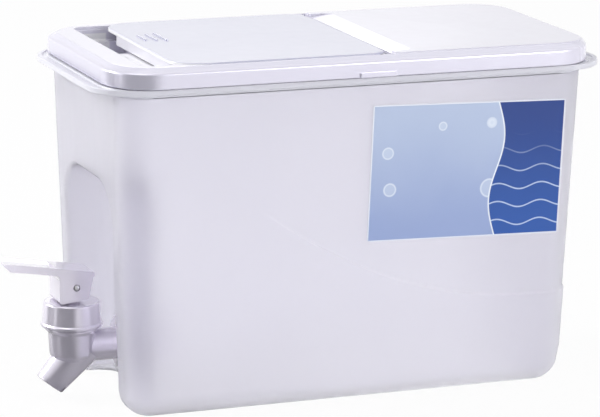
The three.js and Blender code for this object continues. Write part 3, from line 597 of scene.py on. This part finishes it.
def niche_arch(grow):
    """Points (y, z) round the niche's arch: straight sides, round shoulders and a flat top."""
    half, top, shoulder = NICHE_HALF_FRONT + grow, NICHE_TOP + grow, NICHE_SHOULDER + grow
    angle = np.radians(np.linspace(0, 90, 15))
    side = np.linspace(NICHE_BELOW, top - shoulder, 12)[:-1]
    y = np.concatenate((np.full(len(side), half), half - shoulder + shoulder * np.cos(angle)))
    z = np.concatenate((side, top - shoulder + shoulder * np.sin(angle)))
    return np.concatenate((y, -y[::-1])), np.concatenate((z, z[::-1]))


def niche_space(name, grow, flare):
    """The niche: an arch swept inwards from the tank's sloping end, with a flared edge and a round rear edge.

    A station is a depth behind the end face with the arch's widening there."""
    corner, back = NICHE_CORNER + grow, NICHE_BACK + grow
    stations = [(-14.0, flare * 1.2), (-0.6, flare * 1.05)]
    if flare:
        angles = np.radians(np.linspace(18, 90, 7))
        stations += [(flare * (1 - math.cos(a)), flare * (1 - math.sin(a))) for a in angles]
    stations += [(4.5, 0.0), (9.0, 0.0)]
    rings = []
    for depth, widen in stations:
        y, z = niche_arch(grow + widen)
        foot = np.clip(BASE_ROUND - np.clip(z, 3.5, None), 0, None)
        face = BASE[0] + (MOUTH[0] - BASE[0]) * np.clip(z, 0, None) / FLANGE_LOW
        x = face + BASE_ROUND - np.sqrt(BASE_ROUND ** 2 - foot ** 2) + depth
        rings.append(np.column_stack((x, y, z)))
    for angle in np.radians(np.linspace(0, 90, 9)):
        y, z = niche_arch(grow - corner * (1 - math.cos(angle)))
        rings.append(np.column_stack((np.full(len(y), back - corner * (1 - math.sin(angle))), y, z)))
    rings = np.array(rings[::-1])[:, ::-1]
    share = np.clip((rings[..., 0] - NICHE_FRONT) / NICHE_DEPTH, 0, 1)
    rings[..., 1] *= 1 + (NICHE_HALF_BACK / NICHE_HALF_FRONT - 1) * share
    return skin(name, rings)


def niche_foot(name, grow):
    """The niche's lower edge: its outline spreads downwards along a quarter circle."""
    radius = NICHE_FOOT - grow
    rings = []
    for angle in np.linspace(0, math.pi / 2, 8):
        spread = NICHE_FOOT - radius * math.sin(angle)
        outline = (-140.0, NICHE_BACK + spread, NICHE_HALF_BACK + spread, 0.3, NICHE_CORNER + spread)
        ring = level_ring(outline, NICHE_FOOT - radius * math.cos(angle), steps=10, longs=6)
        share = np.clip((NICHE_BACK - ring[:, 0]) / NICHE_DEPTH, 0, 2)
        ring[:, 1] *= 1 + (NICHE_HALF_FRONT / NICHE_HALF_BACK - 1) * share
        rings.append(ring)
    rings.insert(0, rings[0] - np.array((0, 0, NICHE_FOOT)))
    return skin(name, rings)


def make_tank():
    """Outer form, less the niche, the room inside and the hole for the shank."""
    outside = combine(tank_outside(), [niche_space("niche", 0, NICHE_FLARE), niche_foot("foot", 0)])
    hole = revolve("hole", rod(8.3, -108, -92), along_shank, 64)
    tank = combine(outside, [tank_inside(), hole])
    tank.name = "tank_shell"
    return fitted(tank, "jug", frosted, "tank", "tank")


def lip_channel_ring(outline, inset, z):
    """A loop that is moved in at the two ends and hardly on the long sides."""
    flat = fine_loop(outline, inset)
    flat[:, 1] = fine_loop(outline, 0.6 + 0.1 * inset)[:, 1]
    return raised(flat, z)


def make_lip():
    """The lip round the tank's mouth: a ring rooted in the wall, with a channel in its top."""
    outline = (MOUTH[0] - 10.7, MOUTH[1] + 13.2, MOUTH[2] + 2, 26.0, 26.0)
    low, high = FLANGE_LOW, FLANGE_HIGH
    root, channel = 0.4, high - 0.7
    under = eased_path([(0, NECK_LOW, 0), (0, low, 1.2), (-1.4, low, 0)], 4)
    edge = eased_path([(0.6, low, 0), (0, low, 0.5), (0, high, 0.5), (0.6, high, 0)], 5)
    top = eased_path([(0.6, high, 0), (2.4, high, 0.4), (2.9, channel, 0.4), (5.2, channel, 0.4),
                      (5.7, high, 0.4), (7, high, 0)], 3)
    rings = fine_rings(MOUTH, [(root, NECK_LOW - 0.3), *under])
    rings += fine_rings(outline, edge[1:-1])
    rings += [lip_channel_ring(outline, inset, z) for inset, z in top[1:]]
    rings += fine_rings(MOUTH, [(root, high)])
    return fitted(skin("tank_lip", rings, closed=True), "jug", frosted_lip, "tank")


make_tank()
make_lip()


# Lid

SHEET, BARREL = 1.8, 3.2
SEAT = (-98.3, BAY[1], 62.8, 16.0, 0.8)
POUR = (-77.5, 0.5, 48.0, 14.0, 14.0)
WELL_LOW, WELL_HIGH = np.array((-112.8, 13.9, 166.2)), np.array((-85.7, 54.0, 173.0))


def shoulder_outline(inset):
    """The lid's outline at an inset of the shoulder, which is shorter at the rear."""
    low, high, half, front, rear = LID
    return low + inset, high - 0.36 * inset, half - inset, front - inset, rear - inset


def pit(name, outline, low, high, ease, foot):
    """A cutter with an upright wall, a round foot and an upper edge that spreads."""
    path = eased_path([(foot + 1, low, 0), (0, low, foot), (0, high - ease, 0)], 4)[1:].tolist()
    for angle in np.radians(np.linspace(15, 62, 5)):
        path.append((-ease * (1 - math.cos(angle)), high - ease + ease * math.sin(angle)))
    spread = path[-1][0] - ease / 2
    path += [(spread, high + 0.1), (spread, high + 6)]
    return skin(name, profile_rings(outline, path, steps=12))


def slab(name, outline, low, high, upper=0.05, lower=0.05):
    """A plate between two heights with round upper and lower edges."""
    inner = upper + lower
    path = eased_path([(inner, low, 0), (0, low, lower), (0, high, upper), (inner, high, 0)], 5)
    return skin(name, profile_rings(outline, path[1:-1]))


def band(name, outline, thickness, low, high, ease=0.3):
    """A closed wall that follows an outline, with eased edges."""
    middle = thickness / 2
    path = eased_path([(middle, low, 0), (0, low, ease), (0, high, ease), (thickness, high, ease),
                       (thickness, low, ease), (middle, low, 0)], 3)[:-1]
    return skin(name, profile_rings(outline, path), closed=True)


def lid_shell():
    """The lid's shell as one skin, from its underside round the skirt to its top."""
    belt, shoulder_foot = 174, 178.7
    inner = eased_path([(3.4, LID_UNDER, 0), (SHEET, LID_UNDER, 0.5), (SHEET, SKIRT_FOOT, 0.5),
                        (0, SKIRT_FOOT, 0.5), (0, belt, 0)], 4)
    outer = eased_path([(0, belt, 0), (0, shoulder_foot, 1.3), (5, LID_TOP, 2.4), (9, LID_TOP, 0)], 8)
    rings = profile_rings(LID, inner) + [level_ring(shoulder_outline(inset), z) for inset, z in outer[1:]]
    return skin("lid_shell", rings)


def rear_plateau():
    """The raised plate behind the hatch."""
    path = eased_path([(0, 180, 0), (0, 181.35, 0.2), (0.6, HATCH_TOP, 0.7), (3, HATCH_TOP, 0)], 4)
    return skin("plateau", profile_rings((BAY[1], 128.8, 63.1, 0.8, 20.6), path))


def strip_recess():
    """A cutter for the recess behind the hinge, whose floor rises to the plate behind it."""
    front, rear, depth, rise = BAY[1], 31.0, 1.65, 1.7
    outline = (front - 0.3, rear, 57.0, 0.15, 7.0)
    rings = [level_ring(outline, z, longs=12) for z in (HATCH_TOP - depth, HATCH_TOP + 6)]
    rings[0][:, 2] += rise * np.clip(rings[0][:, 0] - front, 0, None) / (rear - front)
    return skin("strip", rings)


def hatch_room():
    """Cutters for the hatch's seat, its barrel's sweep, the bay and the finger well."""
    sweep_foot = HINGE_Z - BARREL + HATCH_TOP - HATCH_UNDER
    return [
        pit("seat", SEAT, SEAT_TOP, LID_TOP, 0.5, 0.2),
        block("sweep", (HINGE_X, -SEAT[2], sweep_foot), (SEAT[1], SEAT[2], 190), 0.1),
        pit("bay", BAY, DECK_TOP, SEAT_TOP, 0.4, 0.8),
        block("finger_well", WELL_LOW + SHEET, (*(WELL_HIGH - SHEET)[:2], 178), 3),
    ]


def hinge_lug_and_tab(side):
    """On one side, a post on the deck with a round head for the hinge pin, and the skirt's thin pull tab."""
    radius, foot = 1.9, 173.1
    low, high = sorted((side * 50.8, side * 59.1))
    tab_low, tab_high = sorted((side * 66.7, side * 69.5))
    return [block("lug", (HINGE_X - radius, low, foot), (HINGE_X + radius, high, HINGE_Z), 0.2),
            cross_rod("lug_head", radius, HINGE_X, HINGE_Z, low, high),
            block("pull_tab", (-3.5, tab_low, 171.2), (16.5, tab_high, 173.5), 0.6)]


def make_lid():
    """The shell with all that is joined to it and cut from it, step by step."""
    wall, plug_foot, plug_top, tray_top, hollow_top, collar_top = 1.6, 171.2, 177.6, 178, 179, 177
    lid = lid_shell()
    plug = band("plug", (-124.1, 123.3, 60.8, 13.3, 13.3), wall, plug_foot, plug_top)
    deck = slab("deck", shrunk(BAY, -SHEET), DECK_UNDER, tray_top, 0.05, 0.6)
    combine(lid, [rear_plateau(), plug, deck, block("well", WELL_LOW, WELL_HIGH, 4)], "UNION")
    rear_hollow = slab("rear_hollow", (26.3, 121.7, 59.2, 0.8, 11.7), 160, hollow_top, 0.5, 0.5)
    combine(lid, hatch_room() + [strip_recess(), rear_hollow])
    collar = band("collar", shrunk(POUR, -wall), wall, DECK_TOP - 1, collar_top, 0.4)
    combine(lid, hinge_lug_and_tab(-1) + hinge_lug_and_tab(1) + [collar], "UNION")
    combine(lid, [slab("pour", POUR, 165, 174.5)] + [pin_hole(side, 40) for side in (-1, 1)])
    lid.name = "lid_shell"
    return fitted(lid, "lid", lid_white, "lid", "lid_frame")


make_lid()


# Hatch

def hatch_plate():
    """The hatch's plate, cut off behind the hinge's axis and cleared above the lugs."""
    plate = slab("hatch_plate", HATCH, HATCH_UNDER, HATCH_TOP, 0.7, 0.4)
    half, rear, clear_front, clear_top = 70, 30, 11.1, 180.8
    behind = block("behind", (HINGE_X, -half, 175), (rear, half, 186), 0.1)
    over_lugs = block("over_lugs", (clear_front, -half, HINGE_Z), (rear, half, clear_top), 0.1)
    return combine(plate, [behind, over_lugs])


def hinge_barrel():
    """The barrel along the hatch's rear edge."""
    half = 50
    path = eased_path([(0, -half, 0), (BARREL, -half, 0.4), (BARREL, half, 0.4), (0, half, 0)], 3)
    return revolve("barrel", path, across(HINGE_X, HINGE_Z), 64)


def grip_rib(index):
    """One of the ribs to grip the hatch by. Each is longer than the one in front of it."""
    x, half, middle, thickness = -90.5 + 5 * index, 7 + 2 * index, 14.0, 0.8
    foot, top = HATCH_TOP - 1, HATCH_TOP + 0.7
    path = eased_path([(0, foot, 0), (0, top, 0.5), (0.78, top, 0)], 4)
    rings = profile_rings((x - thickness, x + thickness, half, 0.79, 0.79), path, steps=6)
    return skin("rib", np.array(rings) + np.array((0, middle, 0)))


def hatch_skirt():
    """The wall under the hatch, cut away over the finger well."""
    skirt = band("skirt", (-96.9, 9.8, 57.4, 16.0, 0.8), SHEET, 174.6, 180.9, 0.4)
    return combine(skirt, [block("finger_cut", (-103, 36.2, 168), (-89, 66, HATCH_UNDER), 0.1)])


def make_hatch():
    """The plate with its barrel, ribs and skirt, bored for the two pins."""
    hatch = hatch_plate()
    combine(hatch, [hinge_barrel()] + [grip_rib(index) for index in range(3)] + [hatch_skirt()], "UNION")
    combine(hatch, [pin_hole(side, 64) for side in (-1, 1)])
    hatch.name = "hatch"
    return fitted(hatch, "hatch", hatch_white, "hatch", "flip_hatch")


make_hatch()


# Tap

SPOUT_X, SPOUT_Z, SPOUT_SLOPE = TAP_X - 12.2, 7.15, math.radians(47)
LEVER_REAR, LEVER_TIP, REAR_RISE, TIP_RISE = TAP_X + 9.5, TAP_X - 39.5, 7.7, 15.6
LEVER_SLOPE = (TIP_RISE - REAR_RISE) / (LEVER_REAR - LEVER_TIP)
BLOCK_FRONT, BLOCK_HALF = TAP_X - 9, 9


def spout_ring(radius, behind, turn):
    """A circle round the spout's axis, some way behind its mouth and turned a little."""
    turn = math.radians(turn)
    lean = SPOUT_SLOPE + turn
    middle = np.array((SPOUT_X + behind * math.cos(SPOUT_SLOPE), 0, SPOUT_Z + behind * math.sin(SPOUT_SLOPE)))
    along = np.array((math.sin(lean), 0, -math.cos(lean)))
    angle = np.linspace(0, 2 * math.pi, 72, endpoint=False)[:, None]
    stretch = radius / math.cos(turn)
    return middle + along * stretch * np.cos(angle) + np.array((0, 1, 0)) * radius * np.sin(angle)


def tap_barrel():
    """The upright barrel with a collar under the bonnet's thread."""
    foot, collar, collar_top, thread, top = 14.5, 14, 37.1, 11.2, 44.6
    path = eased_path([(0, foot, 0), (6.0, foot, 1.5), (8.2, 18.5, 2), (11.4, 22.6, 3), (12.2, 34.4, 1.0),
                       (collar, 36.3, 0.5), (collar, collar_top, 0.2), (thread, collar_top, 0.2),
                       (thread, top, 0.3), (0, top, 0)], 6)
    return revolve("tap_barrel", path, upright)


def tap_shank():
    """The level shank with its flange and its thread."""
    neck, flange, front, back, thread, end = 8.4, 14.6, -108.4, -104.2, 7.9, -84
    path = eased_path([(0, TAP_X, 0), (neck, TAP_X, 0), (neck, front, 0.8), (flange, front, 1.3),
                       (flange, back, 0.3), (thread, back, 0), (thread, end, 0.5), (0, end, 0)], 6)
    return revolve("shank", path, along_shank)


def tap_spout():
    """The spout: an eased mouth and a tube that widens towards the barrel."""
    mouth, wider, ease, length, turn = 7.8, 2.4, 0.6, 25.4, 5
    rings = [spout_ring(6.9, 0.0, 5.5), spout_ring(7.45, 0.12, 5.5), spout_ring(mouth, ease, 5.2)]
    for t in np.linspace(0.1, 1, 8):
        rings.append(spout_ring(mouth + wider * t, ease + length * t, turn * (1 - t)))
    return skin("spout", rings)


def water_ways():
    """Cutters for the chamber, the valve's seat, the inlet and the outlet."""
    outlet = ((6.6, -5), (5.9, -0.2), (5.5, 1.2), (4.2, 14.5))
    return [
        revolve("chamber", rod(8.6, 22.2, 51), upright),
        revolve("seat", rod(4.2, 16, 28), upright, 48),
        revolve("inlet", rod(5, TAP_X, -78), along_shank, 48),
        skin("outlet", [spout_ring(radius, behind, 0) for radius, behind in outlet]),
    ]


def make_tap_body():
    """Barrel, shank and spout joined, with the water's ways cut out."""
    housing = combine(tap_barrel(), [tap_shank(), tap_spout()], "UNION")
    combine(housing, water_ways())
    housing.name = "tap_housing"
    return fitted(housing, "jug", tap_white, "tap", "tap_body")


def make_bonnet():
    """Hollow cap with a bead round its foot and a hole for the stem."""
    foot, roof, top, stem_hole, inside, bead = 37.6, 46.9, 50.5, 3.4, 11.6, 16
    start = (13, foot, 0)
    path = eased_path([start, (bead, foot, 0.7), (bead, 39.2, 0.6), (15.4, 40, 0.4), (14.6, top, 1.0),
                       (stem_hole, top, 0.4), (stem_hole, roof, 0.2), (inside, roof, 0.6),
                       (inside, foot, 0.3), start], 5)
    return fitted(revolve_ring("bonnet_cap", path, upright), "jug", tap_white, "tap", "bonnet")


def make_washer(name, outer, low, high, replaced):
    """A soft ring on the shank with round edges, between two places along x."""
    inner = 8.3
    middle = (inner + outer) / 2
    path = eased_path([(middle, low, 0), (outer, low, 0.8), (outer, high, 0.8), (inner, high, 0.3),
                       (inner, low, 0.3), (middle, low, 0)], 5)
    return fitted(revolve_ring(name, path, along_shank), "jug", silicone, "seal", replaced)


def paddle_top(x):
    """Height of the paddle's top, which rises in a straight line towards the tip."""
    return PIN_Z + REAR_RISE + (LEVER_REAR - x) * LEVER_SLOPE


def lever_side(half):
    """The lever's side view, a paddle on a block, carried straight across y."""
    foot, thickness, under, bend = PIN_Z - 8.3, 3.9, paddle_top(LEVER_REAR) - 2.4, LEVER_TIP + 4.5
    start = (-126, paddle_top(-126), 0)
    side = eased_path([start, (LEVER_REAR, paddle_top(LEVER_REAR), 0.5), (LEVER_REAR, under, 0.4),
                       (TAP_X + 8.9, under, 0.4), (TAP_X + 6.4, foot + 2.1, 1.2), (BLOCK_FRONT, foot, 1.6),
                       (BLOCK_FRONT, paddle_top(BLOCK_FRONT) - thickness, 2.4),
                       (bend, paddle_top(bend) - thickness, 1.5), (LEVER_TIP, paddle_top(LEVER_TIP), 0.5),
                       start], 5)[:-1]
    rings = [np.column_stack((side[:, 0], np.full(len(side), y), side[:, 1])) for y in (half, -half)]
    return skin("tap_paddle", rings)


def lever_plan():
    """The lever's plan carried upwards: a flared tip, a waist and the block's straight sides."""
    flare = 9.8
    plan = [(-180, flare), (LEVER_TIP, flare), (-158.5, 8.2), (BLOCK_FRONT, BLOCK_HALF), (-110, BLOCK_HALF)]
    plan = np.array([(x, -y) for x, y in plan] + plan[::-1])
    return skin("plan", [raised(plan, z) for z in (40, 90)])


def finger_trough():
    """A cutter for the trough along the paddle's top: a wide bar laid along the slope."""
    length, radius, depth, x = 34.0, 40.0, 0.75, -143.5
    slope = math.atan(LEVER_SLOPE)
    bar = revolve("trough", rod(radius, 0, length), lambda points: points, 256)
    turn = Matrix.Rotation(-math.pi / 2 + slope, 4, "Y")
    rest = Vector((x, 0, paddle_top(x))) * MM
    normal = Vector((math.sin(slope), 0, math.cos(slope)))
    bar.data.transform(Matrix.Translation(rest + normal * (radius - depth) * MM) @ turn)
    return bar


def make_lever():
    """The side view trimmed by the plan, less the trough, the stem's slot and the bore."""
    lever = combine(lever_side(14), [lever_plan()], "INTERSECT")
    slot = block("slot", (TAP_X - 7.1, -2.3, 40), (TAP_X + 4.2, 2.3, PIN_Z + 4.6), 0.4)
    combine(lever, [finger_trough(), slot, cross_rod("bore", 1.8, TAP_X, PIN_Z, -18, 18, 48)])
    weigh_edges(lever)
    edge = lever.modifiers.new("edges", "BEVEL")
    edge.width, edge.segments, edge.limit_method = 1.6 * MM, 4, "WEIGHT"
    return fitted(lever, "lever", tap_white, "tap", "tap_lever")


def weigh_edges(lever):
    """Bevel weights: 1 for the upright edges of the block's front, 0.35 for the other sharp edges."""
    shape = bmesh.new()
    shape.from_mesh(lever.data)
    weight = shape.edges.layers.float.new("bevel_weight_edge")
    for edge in shape.edges:
        ends = [vertex.co / MM for vertex in edge.verts]
        off_front = max(abs(end.x - BLOCK_FRONT) for end in ends)
        off_side = sum(abs(abs(end.y) - BLOCK_HALF) for end in ends)
        if off_front < 0.01 and off_side < 0.02:
            edge[weight] = 1.0
        elif edge.calc_face_angle(0) > math.radians(40):
            edge[weight] = 0.35
    shape.to_mesh(lever.data)
    shape.free()


def make_pin():
    """Cross pin with slightly domed ends."""
    radius, half, end = 1.5, 9.1, 9.2
    path = eased_path([(0, -end, 0), (radius, -half, 0.35), (radius, half, 0.35), (0, end, 0)], 4)
    pin = revolve("cross_pin", path, across(TAP_X, PIN_Z), 48)
    return fitted(pin, "lever", steel, "steel", "lever_pin")


def make_spring():
    """The closing spring: a round wire on a helix, carried by the stem."""
    low, high = (corner.z * 1000 for corner in map(Vector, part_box("valve_spring")))
    radius, wire, turns, lift = 4.5, 0.55, 6, 3.27
    angle = np.linspace(0, turns * 2 * math.pi, turns * 32 + 1)
    outward = np.column_stack((np.cos(angle), np.sin(angle), np.zeros(len(angle))))
    height = low + wire + (high - low - 2 * wire) * angle / angle[-1]
    middle = radius * outward + np.column_stack((np.full(len(angle), TAP_X), np.zeros(len(angle)), height))
    around = np.radians(np.arange(0, 360, 30))[None, :, None]
    up = np.array((0, 0, 1))
    rings = middle[:, None] + wire * (outward[:, None] * np.cos(around) - up * np.sin(around))
    spring = fitted(skin("closing_spring", rings), "stem", steel, "steel", "valve_spring")
    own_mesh(spring)


make_tap_body()
make_bonnet()
make_spring()
make_washer("outer_ring", 13.4, -103.9, -100.8, "outer_washer")
make_washer("inner_ring", 12.4, -98.0, -96.2, "inner_washer")
make_lever()
make_pin()


# Label, whose lengths are in metres

def label_place(wire):
    """A point in the label's own frame, whose origin is its middle."""
    middle, turn = (0.0587, 0, 0.1186), math.radians(-1.5)
    turned = {"Vector": wire.vector("SUBTRACT", wire.place(), middle)[0], "Angle": turn}
    return wire.add("ShaderNodeVectorRotate", turned, rotation_type="Y_AXIS").outputs[0]


def pale_field(wire, place, v):
    """Pale blue, deeper below, with soft bubbles of several sizes."""
    level = wire.math("ADD", v, wire.product(wire.noise(place, 30.0), 0.02))
    colour = wire.mix(wire.ramp(level, -0.03, 0.045), (0.32, 0.405, 0.67, 1), (0.49, 0.575, 0.76, 1))
    cells = wire.add("ShaderNodeTexVoronoi", {"Vector": place, "Scale": 62.0, "Randomness": 0.8}).outputs
    size = wire.add("ShaderNodeSeparateColor", {"Color": cells["Color"]}).outputs[0]
    off = wire.math("SUBTRACT", cells["Distance"], wire.math("MULTIPLY_ADD", size, 0.26, 0.1))
    disc = wire.product(wire.ramp(off, 0.012, -0.012), 0.35)
    rim = wire.product(wire.ramp(wire.math("ABSOLUTE", off), 0.035, 0.01), 0.55)
    return wire.mix(rim, wire.mix(disc, colour, (0.80, 0.88, 0.97, 1)), (0.88, 0.93, 1.0, 1))


def deep_field(wire, u, v):
    """Deep blue, lighter below, with pale ripples over its lower part."""
    colour = wire.mix(wire.ramp(v, 0.036, -0.036), (0.010, 0.045, 0.24, 1), (0.018, 0.095, 0.40, 1))
    bend = wire.product(wire.math("SINE", wire.product(u, 260.0)), 0.0016)
    ripple = wire.math("ABSOLUTE", wire.math("SINE", wire.product(wire.math("ADD", v, bend), 330.0)))
    line = wire.product(wire.ramp(ripple, 0.16, 0.08), wire.ramp(v, 0.02, -0.01), 0.75)
    return wire.mix(line, colour, (0.62, 0.74, 0.93, 1))


def label_print():
    """Printed film: a pale and a deep field that meet in a wave, and a white margin round both."""
    border, half_length, half_height, soft = 0.0165, 0.0526, 0.0346, 0.0003
    material, wire, shader = new_material("label_print")
    place = label_place(wire)
    split = wire.add("ShaderNodeSeparateXYZ", {"Vector": place}).outputs
    u, v = split["X"], split["Z"]
    wave = wire.product(wire.math("SINE", wire.product(v, 95.0)), 0.0035)
    past = wire.math("SUBTRACT", wire.math("SUBTRACT", u, border), wave)
    fields = wire.mix(wire.ramp(past, 0.0, soft), pale_field(wire, place, v), deep_field(wire, u, v))
    edge = wire.ramp(wire.math("ABSOLUTE", past), 0.0005, 0.0003)
    colour = wire.mix(edge, fields, (0.86, 0.9, 0.96, 1))
    sides = [wire.ramp(wire.math("ABSOLUTE", axis), half, half + soft)
             for axis, half in ((u, half_length), (v, half_height))]
    colour = wire.mix(wire.math("MAXIMUM", *sides), colour, (0.83, 0.85, 0.92, 1))
    film = wire.noise(place, 90.0)
    relief = wire.add("ShaderNodeBump", {"Strength": 0.15, "Distance": 0.0003, "Height": film})
    wire.set(shader.inputs["Base Color"], colour)
    wire.set(shader.inputs["Roughness"], wire.ramp(film, 0.2, 0.8, 0.29, 0.37))
    wire.set(shader.inputs["Normal"], relief.outputs["Normal"])
    return material


def dress(names, material):
    """Gives solid nodes that stay a better material."""
    for name in names:
        data = nodes[name].data
        data.materials.clear()
        data.materials.append(material)


dress(["label"], label_print())
dress(["lock_nut", "valve_stem"], tap_white)
dress(["hinge_pin_near", "hinge_pin_far"], hatch_white)
dress(["lid_gasket", "hatch_seal"], silicone)
dress(["valve_cup", "bonnet_gasket"], rubber)


# Floor, light and background, whose lengths are in metres

def background_rays(wire):
    """1 for rays from the camera, off gloss and through the tank, which meet the white background."""
    path = wire.add("ShaderNodeLightPath").outputs
    both = wire.math("ADD", path["Is Camera Ray"], path["Is Glossy Ray"])
    return wire.math("ADD", both, path["Is Transmission Ray"], clamp=True)


def dark_side():
    """Node group: 1 on the unlit side of the room and 0 elsewhere, with a bright gap in it.

    The angle about the tap is in degrees and runs from the near side towards the tap end."""
    rise, fall, horizon = (-12, 16), (134, 114), (0.6, 0.25)
    gap_middle, gap_half, gap_light = 82.0, (7, 2), 0.8
    tree = bpy.data.node_groups.new("dark_side", "ShaderNodeTree")
    tree.interface.new_socket("Direction", in_out="INPUT", socket_type="NodeSocketVector")
    tree.interface.new_socket("Dark", in_out="OUTPUT", socket_type="NodeSocketFloat")
    wire = Wiring(tree)
    given = wire.add("NodeGroupInput").outputs["Direction"]
    split = wire.add("ShaderNodeSeparateXYZ", {"Vector": given}).outputs
    turned_x, turned_y = (wire.product(split[axis], -1.0) for axis in ("X", "Y"))
    angle = wire.product(wire.math("ARCTAN2", turned_x, turned_y), 180 / math.pi)
    from_gap = wire.math("ABSOLUTE", wire.math("SUBTRACT", angle, gap_middle))
    unlit = wire.math("MULTIPLY_ADD", wire.ramp(from_gap, *gap_half), -gap_light, 1.0)
    band = wire.product(wire.ramp(angle, *rise), wire.ramp(angle, *fall))
    dark = wire.product(band, wire.ramp(split["Z"], *horizon), unlit)
    wire.set(wire.add("NodeGroupOutput").inputs["Dark"], dark)
    return tree


UNLIT = dark_side()


def gloss_level(wire, direction):
    """How dark a direction is, the white level that gloss sees there, and 1 for glossy rays."""
    dark = wire.add("ShaderNodeGroup", {0: direction}, node_tree=UNLIT).outputs["Dark"]
    path = wire.add("ShaderNodeLightPath").outputs
    mirrored = wire.math("SUBTRACT", path["Is Glossy Ray"], path["Is Transmission Ray"], clamp=True)
    return dark, wire.math("MULTIPLY_ADD", wire.product(dark, mirrored), -0.94, 1.0), mirrored


def floor_material():
    """White that mostly glows by itself and so keeps only a faint shadow. Gloss sees it darker in part: on
    the unlit side, and in a painted shadow near the tap.
    """
    own_light, tap_shade = 0.95, 0.7
    material, wire, shader = new_material("floor")
    shader.inputs["Base Color"].default_value = (0.86, 0.86, 0.87, 1)
    shader.inputs["Roughness"].default_value = 0.9
    from_tap = wire.vector("SUBTRACT", wire.place(), (TAP_X * MM, 0, 0))[0]
    _, level, mirrored = gloss_level(wire, from_tap)
    away = wire.vector("LENGTH", from_tap)["Value"]
    # Painted shadow: near the tap, glossy rays see the floor darker.
    near = wire.product(wire.ramp(away, 0.2, 0.04), mirrored)
    level = wire.product(level, wire.math("MULTIPLY_ADD", near, -tap_shade, 1.0))
    glow = wire.add("ShaderNodeEmission", {"Color": (1, 1, 1, 1), "Strength": level}).outputs[0]
    part = wire.product(background_rays(wire), own_light)
    mixed = wire.add("ShaderNodeMixShader", {0: part, 1: shader.outputs[0], 2: glow})
    wire.set(material.node_tree.nodes["Material Output"].inputs["Surface"], mixed.outputs[0])
    return material


def make_floor():
    """A wide pale floor, 20 metres to each side."""
    half = 20 / MM
    corners = [(-half, -half, 0), (half, -half, 0), (half, half, 0), (-half, half, 0)]
    floor = new_piece("floor", corners, [(0, 1, 2, 3)])
    floor.data.materials.append(floor_material())


def make_world():
    """Soft light all round, weaker from the unlit side, behind a white background."""
    strength, unlit_loss = 0.46, 0.40
    world = bpy.data.worlds.new("studio")
    bpy.context.scene.world = world
    world.use_nodes = True
    wire = Wiring(world.node_tree)
    tree = world.node_tree.nodes
    soft = tree["Background"]
    soft.inputs["Color"].default_value = (0.94, 0.95, 1.0, 1)
    dark, level, _ = gloss_level(wire, wire.add("ShaderNodeTexCoord").outputs["Generated"])
    wire.set(soft.inputs["Strength"], wire.math("MULTIPLY_ADD", dark, -unlit_loss, strength))
    white = wire.add("ShaderNodeBackground", {"Color": (1, 1, 1, 1), "Strength": level})
    both = {0: background_rays(wire), 1: soft.outputs[0], 2: white.outputs[0]}
    mixed = wire.add("ShaderNodeMixShader", both)
    wire.set(tree["World Output"].inputs["Surface"], mixed.outputs[0])


def make_lamp(name, place, size, power):
    """A square soft lamp that faces the jug."""
    aim = Vector((0, 0, 0.09))
    data = bpy.data.lights.new(name, "AREA")
    data.size, data.energy = size, power
    lamp = bpy.data.objects.new(name, data)
    lamp.location = place
    lamp.rotation_euler = (aim - Vector(place)).to_track_quat("-Z", "Y").to_euler()
    bpy.context.scene.collection.objects.link(lamp)


make_floor()
make_world()
make_lamp("key", (-1.35, 0.9, 0.95), 0.7, 22)
make_lamp("top", (-0.6, -0.3, 1.4), 0.8, 2.6)
make_lamp("low", (-1.6, 0.15, 0.22), 0.7, 4.5)
make_lamp("back", (0.545, 1.63, 0.90), 0.5, 1.5)
make_lamp("fill", (1.1, -1.55, 0.6), 1.0, 18.5)
